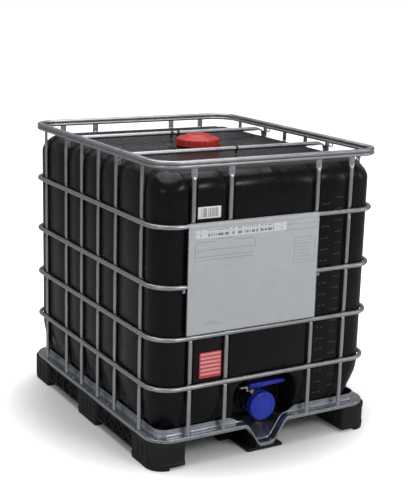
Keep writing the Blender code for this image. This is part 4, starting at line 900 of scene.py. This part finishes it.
# ------------------------------------------------------------ lid
def build_lid():
    """Crowned screw lid: a skirt of shallow lobes, a dished top and a raised hub."""
    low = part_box("lid")[0]
    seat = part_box("lid_gasket")[1].z + 0.0003
    lobes = 16

    def lobe(angle, radius, height):
        if radius < 0.0845 or height < low.z + 0.0035:
            return 1.0
        wave = abs(math.cos(angle * lobes / 2)) ** 0.45
        return 1.0 - 0.040 * (1 - wave) - 0.006

    crown, hub = seat + 0.0125, seat + 0.0206
    profile = [(0.0, hub - 0.0045), (0.0405, hub - 0.0045), (0.0515, crown - 0.0045), (0.0690, seat),
               (0.0818, seat),
               (0.0822, seat - 0.001), (0.0822, low.z), (0.0888, low.z), (0.0898, low.z + 0.0010),
               (0.0898, low.z + 0.0032),
               (0.0890, low.z + 0.0040), (0.0900, low.z + 0.0046), (0.0900, low.z + 0.0120),
               (0.0900, seat - 0.0030),
               (0.0896, seat + 0.0004), (0.0878, seat + 0.0032), (0.0850, seat + 0.0050),
               (0.0780, seat + 0.0072),
               (0.0700, seat + 0.0092), (0.0620, crown - 0.0012), (0.0575, crown - 0.0002),
               (0.0560, crown + 0.0006),
               (0.0520, crown + 0.0042), (0.0490, hub - 0.0016), (0.0455, hub - 0.0002),
               (0.0430, hub - 0.0002),
               (0.0418, hub - 0.0014), (0.0400, hub - 0.0018), (0.0, hub - 0.0012)]
    bm = bmesh.new()
    turned(bm, profile, sides=192, lobe=lobe)
    build("lid_shell", bm, RED, "lid", ["lid"], sharp=42)
    bm = bmesh.new()
    for i in range(6):
        a = math.radians(60 * i)
        part = bmesh.new()
        block(part, (0.0080, -0.0024, hub - 0.0030), (0.0440, 0.0024, hub - 0.0002), 0.0010)
        bmesh.ops.transform(part, matrix=Matrix.Rotation(a, 4, 'Z'), verts=part.verts)
        mesh = bpy.data.meshes.new("spoke")
        part.to_mesh(mesh)
        part.free()
        bm.from_mesh(mesh)
        bpy.data.meshes.remove(mesh)
    block(bm, (0.060, -0.072, low.z + 0.001), (0.074, -0.058, low.z + 0.010), 0.002)
    build("lid_ribs", bm, RED, "lid", sharp=40)

build_lid()


# ------------------------------------------------------------ outlet valve and cap
def build_cap():
    """Screw cap: ribbed skirt, bevelled face with a raised ring and two raised arcs."""
    low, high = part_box("outlet_cap")
    seat = -(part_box("cap_gasket")[0].y - 0.0003)
    back, face = -high.y, -low.y
    ribs = 44

    def grip(angle, radius, height):
        if radius < 0.0555 or height > face - 0.0075 or height < back + 0.0045:
            return 1.0
        return 1.0 - 0.020 * (0.5 - 0.5 * math.cos(angle * ribs)) ** 1.5

    profile = [(0.0, seat), (0.0510, seat), (0.0513, seat - 0.001), (0.0513, back), (0.0566, back),
               (0.0575, back + 0.0010), (0.0575, back + 0.0040), (0.0568, back + 0.0048),
               (0.0575, back + 0.0056),
               (0.0575, (back + face) / 2), (0.0575, face - 0.0085), (0.0572, face - 0.0068),
               (0.0562, face - 0.0046),
               (0.0545, face - 0.0024), (0.0520, face - 0.0010), (0.0500, face - 0.0004),
               (0.0488, face - 0.0004),
               (0.0478, face - 0.0016), (0.0430, face - 0.0020), (0.0424, face - 0.0008),
               (0.0412, face - 0.0004),
               (0.0400, face - 0.0008), (0.0394, face - 0.0018), (0.0, face - 0.0016)]
    bm = bmesh.new()
    turned(bm, profile, at=(0, 0, OUTLET.z), axis='Y', sides=264, lobe=grip)
    build("cap_shell", bm, BLUE, "outlet_cap", ["outlet_cap"], sharp=40)
    bm = bmesh.new()
    for start, end, radius in ((40, 140, 0.030), (150, 215, 0.034), (-30, 20, 0.033)):
        rings = []
        for i in range(17):
            a = math.radians(start + (end - start) * i / 16)
            centre = Vector((radius * math.cos(a), -face + 0.0014, OUTLET.z + radius * math.sin(a)))
            inward = Vector((math.cos(a), 0, math.sin(a)))
            rings.append([centre + inward * 0.0013 * math.cos(b) + Vector((0, 0.0010 * math.sin(b), 0))
                          for b in [2 * math.pi * n / 8 for n in range(8)]])
        loft(bm, rings)
    build("cap_relief", bm, BLUE, "outlet_cap", sharp=50)


def build_valve():
    """Smooth turned versions of the nut, body, seals, disc and stem."""
    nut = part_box("valve_union_nut")
    back, front = -nut[1].y, -nut[0].y

    def flats(angle, radius, height):
        if radius > 0.049 and back + 0.003 < height < front - 0.002:
            return 1.0 - 0.035 * (0.5 + 0.5 * math.cos(angle * 18)) ** 4
        return 1.0

    bm = bmesh.new()
    turned(bm,
           [(0.0434, back), (0.0488, back), (0.0500, back + 0.0012), (0.0500, back + 0.0036),
            (0.0500, front - 0.0030),
                (0.0490, front - 0.0010), (0.0412, front), (0.0412, front - 0.0042),
                (0.0434, front - 0.0046)],
           at=(0, 0, OUTLET.z), axis='Y', sides=144, lobe=flats)
    build("union_nut", bm, VALVE_PLASTIC, replaces=["valve_union_nut"], sharp=40)

    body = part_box("valve_body")
    start, end = -body[1].y, -body[0].y
    waist, housing, spout = start + 0.005, start + 0.020, start + 0.050
    profile = [(0.034, start), (0.0426, start), (0.043, start + 0.0006), (0.043, waist - 0.0006),
               (0.0426, waist),
               (0.0415, waist + 0.0004), (0.040, waist + 0.002), (0.040, housing - 0.004),
               (0.0412, housing - 0.002),
               (0.0440, housing), (0.0458, housing + 0.0016), (0.0465, housing + 0.004),
               (0.0465, spout - 0.004),
               (0.0458, spout - 0.0016), (0.0444, spout - 0.0002), (0.044, spout + 0.001),
               (0.044, spout + 0.004),
               (0.047, spout + 0.0055)]
    for base in (spout + 0.008, spout + 0.0145, spout + 0.021):
        profile += [(0.047, base), (0.0492, base + 0.0012), (0.0494, base + 0.0022), (0.047, base + 0.0036)]
    profile += [(0.047, end - 0.001), (0.046, end), (0.035, end), (0.034, end - 0.001)]
    bm = bmesh.new()
    turned(bm, profile, at=(0, 0, OUTLET.z), axis='Y', sides=96)
    stem_y = (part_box("valve_stem")[0].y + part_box("valve_stem")[1].y) / 2
    boss_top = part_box("valve_body")[1].z
    turned(bm,
           [(0.0054, OUTLET.z + 0.0420), (0.0150, OUTLET.z + 0.0420), (0.0136, OUTLET.z + 0.0500),
            (0.0130, OUTLET.z + 0.0530),
                (0.0130, boss_top - 0.0010), (0.0120, boss_top), (0.0054, boss_top)], at=(0, stem_y, 0),
                sides=48)
    for angle in (45, 135, 225, 315):
        a = math.radians(angle)
        block(bm, (0.0462 * math.cos(a) - 0.003, -(spout - 0.004), OUTLET.z + 0.0462 * math.sin(a) - 0.003),
              (0.0462 * math.cos(a) + 0.003, -(housing + 0.004), OUTLET.z + 0.0462 * math.sin(a) + 0.003),
              0.001)
    build("valve_housing", bm, VALVE_PLASTIC, replaces=["valve_body"], sharp=40)

    bm = bmesh.new()
    turned(bm, [(0.0, -0.0030), (0.0290, -0.0030), (0.0325, -0.0022), (0.0335, -0.0010), (0.0335, 0.0010),
                (0.0325, 0.0022), (0.0290, 0.0030), (0.0, 0.0030)], at=(0, stem_y, OUTLET.z), axis='Y',
                sides=80)
    tube(bm, [(0, stem_y, OUTLET.z - 0.032), (0, stem_y, OUTLET.z + 0.032)], 0.0046, 24)
    build("butterfly_disc", bm, VALVE_PLASTIC, "valve_lever", ["valve_disc"], sharp=40)
    bm = bmesh.new()
    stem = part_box("valve_stem")
    turned(bm,
           [(0, stem[0].z), (0.0044, stem[0].z), (0.0050, stem[0].z + 0.0006), (0.0050, stem[1].z - 0.0006),
                (0.0044, stem[1].z), (0, stem[1].z)], at=(0, stem_y, 0), sides=32)
    build("stem_pin", bm, VALVE_PLASTIC, "valve_lever", ["valve_stem"], sharp=40)
    for name, body_name in (("lid_gasket", "lid_seal"), ("cap_gasket", "cap_seal"),
                            ("valve_gasket", "container")):
        low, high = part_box(name)
        bm = bmesh.new()
        if name == "lid_gasket":
            inner, outer = 0.0735, 0.0790
            turned(bm,
                   [(inner, low.z), (outer - 0.0006, low.z), (outer, low.z + 0.0006),
                    (outer, high.z - 0.0006),
                        (outer - 0.0006, high.z), (inner, high.z)], sides=96)
        else:
            inner = 0.034
            outer = high.x
            turned(bm,
                   [(inner, -high.y), (outer - 0.0006, -high.y), (outer, -high.y + 0.0006),
                    (outer, -low.y - 0.0006),
                        (outer - 0.0006, -low.y), (inner, -low.y)], at=(0, 0, OUTLET.z), axis='Y', sides=96)
        build(name.replace("gasket", "seal_ring"), bm, RUBBER, body_name, [name], sharp=40)
    return stem_y


def build_lever(stem_y):
    """Lever with a deep hollow-backed arm, a stepped hub and a grip bead at its end."""
    low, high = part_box("valve_handle")
    hub_low, hub_top = low.z, high.z
    arm_top = hub_top - 0.002
    arm_low = arm_top - 0.024
    bm = bmesh.new()
    turned(bm, [(0, hub_low), (0.0140, hub_low), (0.0150, hub_low + 0.001), (0.0150, hub_top - 0.0030),
                (0.0143, hub_top - 0.0012), (0.0125, hub_top - 0.0003), (0.0110, hub_top),
                (0.0095, hub_top - 0.0012),
                (0.0, hub_top - 0.0012)], at=(0, stem_y, 0), sides=64)
    rows = [(-0.0390, 0.0095, 0.0050), (-0.0360, 0.0125, 0.0022), (-0.0300, 0.0136, 0.0008),
            (0.0, 0.0138, 0.0),
            (0.0220, 0.0138, 0.0), (0.0300, 0.0134, 0.0004), (0.0330, 0.0122, 0.0018),
            (0.0360, 0.0116, 0.0026),
            (0.0600, 0.0112, 0.0034), (0.0850, 0.0108, 0.0046), (0.1080, 0.0106, 0.0056),
            (0.1180, 0.0106, 0.0058),
            (0.1250, 0.0098, 0.0064), (0.1290, 0.0078, 0.0076), (0.1307, 0.0046, 0.0098)]
    rings = []
    for x, half, trim in rows:
        middle = (arm_low + arm_top) / 2 + trim * 0.20
        tall = (arm_top - arm_low) / 2 - trim * 0.60
        ring = []
        for k in range(28):
            a = 2 * math.pi * k / 28
            c, d = math.cos(a), math.sin(a)
            ring.append((x, stem_y + half * math.copysign(abs(c) ** 0.5, c),
                         middle + tall * math.copysign(abs(d) ** 0.5, d)))
        rings.append(ring)
    loft(bm, rings)
    build("lever_grip", bm, BLUE, "valve_lever", ["valve_handle"], sharp=45)
    bm = bmesh.new()
    block(bm, (-0.034, stem_y - 0.0142, arm_low + 0.005), (-0.026, stem_y + 0.0142, arm_top - 0.005),
          0.0012, 3)
    block(bm, (-0.020, stem_y - 0.0142, arm_low + 0.005), (-0.012, stem_y + 0.0142, arm_top - 0.005),
          0.0012, 3)
    block(bm, (0.040, stem_y - 0.0085, arm_top - 0.0040), (0.110, stem_y - 0.0060, arm_top - 0.0014), 0.0005)
    block(bm, (0.040, stem_y + 0.0060, arm_top - 0.0040), (0.110, stem_y + 0.0085, arm_top - 0.0014), 0.0005)
    build("lever_lugs", bm, BLUE, "valve_lever", sharp=40)
    bm = bmesh.new()
    block(bm, (-0.078, stem_y - 0.0060, arm_low + 0.0060), (-0.0430, stem_y + 0.0060, arm_low + 0.0110),
          0.0018, 3)
    block(bm, (-0.0480, stem_y - 0.0030, arm_low - 0.0080), (-0.0430, stem_y + 0.0030, arm_low + 0.0080),
          0.0010)
    block(bm, (-0.0480, stem_y - 0.0050, arm_low - 0.0100), (-0.0100, stem_y + 0.0050, arm_low - 0.0056),
          0.0012)
    build("lever_stop", bm, GREY_PLASTIC, "container", sharp=40)
    bm = bmesh.new()
    turned(bm,
           [(0, -0.006), (0.0048, -0.006), (0.0060, -0.0045), (0.0064, 0.0), (0.0060, 0.0045),
            (0.0048, 0.006), (0, 0.006)],
           at=(-0.035, stem_y - 0.0150, arm_low - 0.0070), axis='Y', sides=32)
    build("lever_pin", bm, GREY_PLASTIC, "container", sharp=40)


stem_axis_y = build_valve()
build_lever(stem_axis_y)
build_cap()


# ------------------------------------------------------------ label plate
def build_plate():
    """Sheet folded over the hoop, with turned edges, pressed beads in darker steel as painted shade, and
    printed strips.
    """
    low, high = PLATE
    face, back = low.y, low.y + 0.0012
    hoop_z = HOOP_HEIGHTS[3]
    wrap = HOOP_RADIUS + 0.0006
    hoop_y = -HOOP_Y
    section = [(face, low.z + 0.003), (face, hoop_z - 0.016), (face + 0.0006, hoop_z - 0.0135),
               (face + 0.0006, hoop_z - 0.0120),
               (face, hoop_z - 0.0095), (face, hoop_z)]
    for k in range(1, 13):
        a = math.radians(180 - 13 * k)
        section.append((hoop_y + (wrap + 0.0009) * math.cos(a), hoop_z + (wrap + 0.0000) * math.sin(a)))
    inner = []
    for k in range(12, 0, -1):
        a = math.radians(180 - 13 * k)
        inner.append((hoop_y + (wrap - 0.0003) * math.cos(a), hoop_z + (wrap - 0.0010) * math.sin(a)))
    inner += [(back, hoop_z), (back, hoop_z - 0.0120), (back + 0.0003, hoop_z - 0.0135),
              (back, hoop_z - 0.016), (back, low.z + 0.003)]
    outline = section + inner
    bm = bmesh.new()
    loft(bm, [[(x, y, z) for y, z in outline] for x in (low.x + 0.0016, high.x - 0.0016)])
    build("plate_sheet", bm, PLATE_STEEL, replaces=["label_plate"], sharp=30,
          bevel=0.0003)
    bm = bmesh.new()
    middle = HOOP_HEIGHTS[2]
    for x in (low.x, high.x - 0.0014):
        for z0, z1 in ((low.z + 0.001, middle - 0.014), (middle + 0.014, hoop_z - 0.013)):
            block(bm, (x, face + 0.0001, z0), (x + 0.0014, face + 0.0076, z1), 0.0005)
            block(bm, (x - (0.0 if x < 0 else 0.0016), face, z0),
                  (x + 0.0014 + (0.0016 if x < 0 else 0.0), face + 0.0014, z1), 0.0005)
    block(bm, (low.x, face, low.z), (high.x, face + 0.0022, low.z + 0.0040), 0.0009)
    block(bm, (low.x + 0.002, face + 0.0005, low.z), (high.x - 0.002, face + 0.0076, low.z + 0.0014), 0.0005)
    build("plate_edges", bm, DECK, sharp=35)

    def bead(bm, points, radius=0.0017):
        tube(bm, [(x, face - 0.0004 + radius, z) for x, z in points], radius, 10)

    bm = bmesh.new()
    left, right, low_z, high_z = -0.345, -0.092, 0.795, 0.862
    bead(bm, [(left, low_z), (left, high_z - 0.008), (left + 0.008, high_z), (-0.262, high_z)])
    bead(bm, [(-0.262, high_z), (-0.258, high_z + 0.008), (-0.186, high_z + 0.008), (-0.182, high_z)])
    bead(bm, [(-0.182, high_z), (right - 0.008, high_z), (right, high_z - 0.008), (right, low_z + 0.032)])
    for z in (0.832, 0.808, 0.795):
        bead(bm, [(left + 0.004, z), (right - 0.008, z)], 0.0012)
    bead(bm, [(0.086, 0.745), (0.086, 0.842), (0.180, 0.842), (0.180, 0.745), (0.086, 0.745)], 0.0012)
    for z, share in ((0.757, 0.6), (0.769, 0.9), (0.781, 0.5), (0.793, 0.8), (0.805, 0.7), (0.817, 0.9),
                     (0.829, 0.6)):
        bead(bm, [(0.096, z), (0.096 + 0.074 * share, z)], 0.0010)
    bead(bm, [(-0.372, 0.896), (0.192, 0.896)], 0.0010)
    bead(bm, [(0.050, 0.874), (0.192, 0.874)], 0.0010)
    bead(bm, [(-0.300, 0.552), (-0.225, 0.552)], 0.0012)
    bead(bm, [(-0.300, 0.560), (-0.250, 0.560)], 0.0010)
    # The bead lines get the darker steel: painted shade along the pressed lines.
    build("plate_beads_painted_shade", bm, BEAD_SHADE_STEEL, sharp=60)

    strip = printed("printed_strip", (0.66, 0.67, 0.68), (0.20, 0.21, 0.23), 84, 0.50, rows=3, margin=0.05,
                    low=(-0.345, 0.877), high=(0.045, 0.907))
    bm = bmesh.new()
    block(bm, (-0.345, face - 0.00025, 0.877), (0.045, face + 0.0002, 0.907), 0.0001)
    build("plate_strip", bm, strip)
    for name in ("left", "right"):
        low_c, high_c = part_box(f"plate_clip_{name}")
        bm = bmesh.new()
        block(bm, (low_c.x, low_c.y, low_c.z), (high_c.x, high_c.y - 0.003, high_c.z), 0.002, 3)
        turned(bm, [(0, 0.0020), (0.0024, 0.0016), (0.0034, 0.0), (0, 0.0)],
               at=((low_c.x + high_c.x) / 2, low_c.y, (low_c.z + high_c.z) / 2), axis='Y', sides=20)
        block(bm, (low_c.x + 0.002, high_c.y - 0.0045, low_c.z + 0.001),
              (high_c.x - 0.002, high_c.y, high_c.z + 0.0004), 0.0008)
        build(f"clip_block_{name}", bm, BEAD, replaces=[f"plate_clip_{name}"],
              sharp=40)


build_plate()


# ------------------------------------------------------------ marks on the tank
def build_marks():
    """Film labels and the moulded graduation beside the right front panel."""
    y = -TANK_Y
    barcode = printed("barcode_label", (0.78, 0.78, 0.78), (0.24, 0.24, 0.25), 76, 0.46,
                      low=(-0.326, 0.944), high=(-0.230, 0.987))
    bm = bmesh.new()
    block(bm, (-0.326, y - 0.0004, 0.944), (-0.230, y + 0.0003, 0.987), 0.00015)
    build("tank_label_upper", bm, barcode)
    notice = printed("notice_label", (0.72, 0.34, 0.34), (0.56, 0.06, 0.07), 9, 0.93, rows=13, margin=0.045,
                     border=(0.60, 0.045, 0.040), low=(-0.303, 0.335), high=(-0.209, 0.435))
    bm = bmesh.new()
    block(bm, (-0.303, y - 0.0004, 0.335), (-0.209, y + 0.0003, 0.435), 0.00015)
    build("tank_label_lower", bm, notice)
    bm = bmesh.new()
    for i in range(18):
        z = 0.19 + 0.045 * i
        if z < 1.0:
            block(bm, (0.2200, y - 0.0011, z), (0.2330 + 0.006 * (i % 2), y + 0.001, z + 0.0028), 0.0008)
            block(bm, (0.2430, y - 0.0011, z - 0.001), (0.2480, y + 0.001, z + 0.0045), 0.0008)
            block(bm, (0.2510, y - 0.0011, z - 0.001), (0.2560, y + 0.001, z + 0.0045), 0.0008)
            block(bm, (0.2850, y - 0.0011, z + 0.022),
                  (0.2960 + 0.006 * ((i + 1) % 2), y + 0.001, z + 0.0248), 0.0008)
            block(bm, (0.3020, y - 0.0011, z + 0.021), (0.3070, y + 0.001, z + 0.0265), 0.0008)
            block(bm, (0.3100, y - 0.0011, z + 0.021), (0.3150, y + 0.001, z + 0.0265), 0.0008)
    build("tank_graduation", bm, MARK_PLASTIC, sharp=40)


build_marks()


# ------------------------------------------------------------ stage, light and camera
WORLD_FILL, WORLD_MIRRORED = 0.42, 0.26
FLOOR_GLOW_NEAR, FLOOR_GLOW_FAR = 0.0, 0.9
FLOOR_GLOW_FROM, FLOOR_GLOW_TO = 0.50, 1.15
FLOOR_MIRRORED = (0.48, 0.48, 0.48)
CAMERA_PLACE = (-2.261, -3.912, 1.783)
CAMERA_YAW, CAMERA_PITCH, CAMERA_ROLL = 30.46, 13.75, 1.57
CAMERA_LENS, CAMERA_SHIFT = 79.54, (0.0006, -0.0044)


def area(name, place, target, size, power, tint=(1, 1, 1)):
    lamp = bpy.data.lights.new(name, 'AREA')
    lamp.shape = 'RECTANGLE'
    lamp.size, lamp.size_y = size
    lamp.energy = power
    lamp.color = tint
    holder = bpy.data.objects.new(name, lamp)
    holder.location = place
    holder.rotation_euler = (Vector(target) - Vector(place)).to_track_quat('-Z', 'Y').to_euler()
    bpy.context.scene.collection.objects.link(holder)
    return holder


def build_stage():
    """A pale floor that brightens away from the object, a dim studio and four soft lamps."""
    g = Graph("studio_floor")
    parts = g.add("ShaderNodeSeparateXYZ")
    g.put(parts.inputs["Vector"], g.place)
    away = g.math('SQRT',
                  g.math('ADD', g.math('POWER', parts.outputs["X"], 2.0),
                         g.math('POWER', parts.outputs["Y"], 2.0)))
    rise = g.add("ShaderNodeMapRange", interpolation_type='SMOOTHERSTEP')
    g.put(rise.inputs["Value"], away)
    for key, number in zip(("From Min", "From Max", "To Min", "To Max"),
                           (FLOOR_GLOW_FROM, FLOOR_GLOW_TO, FLOOR_GLOW_NEAR, FLOOR_GLOW_FAR)):
        rise.inputs[key].default_value = number
    rays = g.add("ShaderNodeLightPath")
    g.put(g.shader.inputs["Emission Strength"],
          g.math('MULTIPLY', rise.outputs["Result"], rays.outputs["Is Camera Ray"]))
    g.shader.inputs["Emission Color"].default_value = (1.0, 1.0, 1.0, 1.0)
    pale = g.mix(g.noise(1.5), (0.90, 0.90, 0.90), (0.93, 0.93, 0.93))
    floor_material = g.finish(g.mix(rays.outputs["Is Glossy Ray"], pale, FLOOR_MIRRORED),
                              g.span(g.noise(3.0), 0.3, 0.7, 0.80, 0.90), Specular_IOR_Level=0.1)
    bm = bmesh.new()
    bmesh.ops.create_grid(bm, x_segments=1, y_segments=1, size=60.0)
    mesh = bpy.data.meshes.new("studio_floor")
    bm.to_mesh(mesh)
    bm.free()
    mesh.materials.append(floor_material)
    floor = bpy.data.objects.new("studio_floor", mesh)
    floor.location = (0, 0, -0.0005)
    bpy.context.scene.collection.objects.link(floor)

    world = bpy.data.worlds.new("studio")
    world.use_nodes = True
    tree = world.node_tree
    seen = tree.nodes["Background"]
    seen.inputs["Color"].default_value = (1.0, 1.0, 1.0, 1.0)
    seen.inputs["Strength"].default_value = 1.0
    lit = tree.nodes.new("ShaderNodeBackground")
    lit.inputs["Color"].default_value = (0.97, 0.98, 1.0, 1.0)
    rays = tree.nodes.new("ShaderNodeLightPath")
    fill = tree.nodes.new("ShaderNodeMapRange")
    fill.inputs["To Min"].default_value = WORLD_FILL
    fill.inputs["To Max"].default_value = WORLD_MIRRORED
    tree.links.new(rays.outputs["Is Glossy Ray"], fill.inputs["Value"])
    tree.links.new(fill.outputs["Result"], lit.inputs["Strength"])
    choose = tree.nodes.new("ShaderNodeMixShader")
    tree.links.new(rays.outputs["Is Camera Ray"], choose.inputs[0])
    tree.links.new(lit.outputs["Background"], choose.inputs[1])
    tree.links.new(seen.outputs["Background"], choose.inputs[2])
    tree.links.new(choose.outputs["Shader"], tree.nodes["World Output"].inputs["Surface"])
    bpy.context.scene.world = world
    area("top", (0.0, 0.4, 3.8), (0, 0.0, 0.6), (3.4, 3.4), 95)
    area("front", (0.9, -4.4, 3.0), (0.1, -0.3, 0.75), (1.4, 1.0), 58)
    area("left", (-4.4, -2.2, 2.4), (-0.3, 0, 0.6), (0.9, 1.6), 20)
    area("right", (4.0, -3.0, 1.8), (0.2, -0.3, 0.5), (0.9, 1.8), 20)


def build_camera():
    """Looks from the front left, a little above the rim."""
    yaw, pitch, roll = (math.radians(a) for a in (CAMERA_YAW, CAMERA_PITCH, CAMERA_ROLL))
    forward = Vector((math.sin(yaw) * math.cos(pitch), math.cos(yaw) * math.cos(pitch), -math.sin(pitch)))
    level = Vector((math.cos(yaw), -math.sin(yaw), 0))
    up = level.cross(forward)
    right = level * math.cos(roll) + up * math.sin(roll)
    top = up * math.cos(roll) - level * math.sin(roll)
    camera = bpy.data.objects.new("camera", bpy.data.cameras.new("camera"))
    camera.matrix_world = Matrix((
        (right.x, top.x, -forward.x, CAMERA_PLACE[0]), (right.y, top.y, -forward.y, CAMERA_PLACE[1]),
        (right.z, top.z, -forward.z, CAMERA_PLACE[2]), (0, 0, 0, 1)))
    camera.data.lens = CAMERA_LENS
    camera.data.sensor_width = 36.0
    camera.data.shift_x, camera.data.shift_y = CAMERA_SHIFT
    bpy.context.scene.collection.objects.link(camera)
    bpy.context.scene.camera = camera


build_stage()
build_camera()
bpy.context.scene.view_settings.view_transform = 'Standard'

bpy.context.view_layer.update()
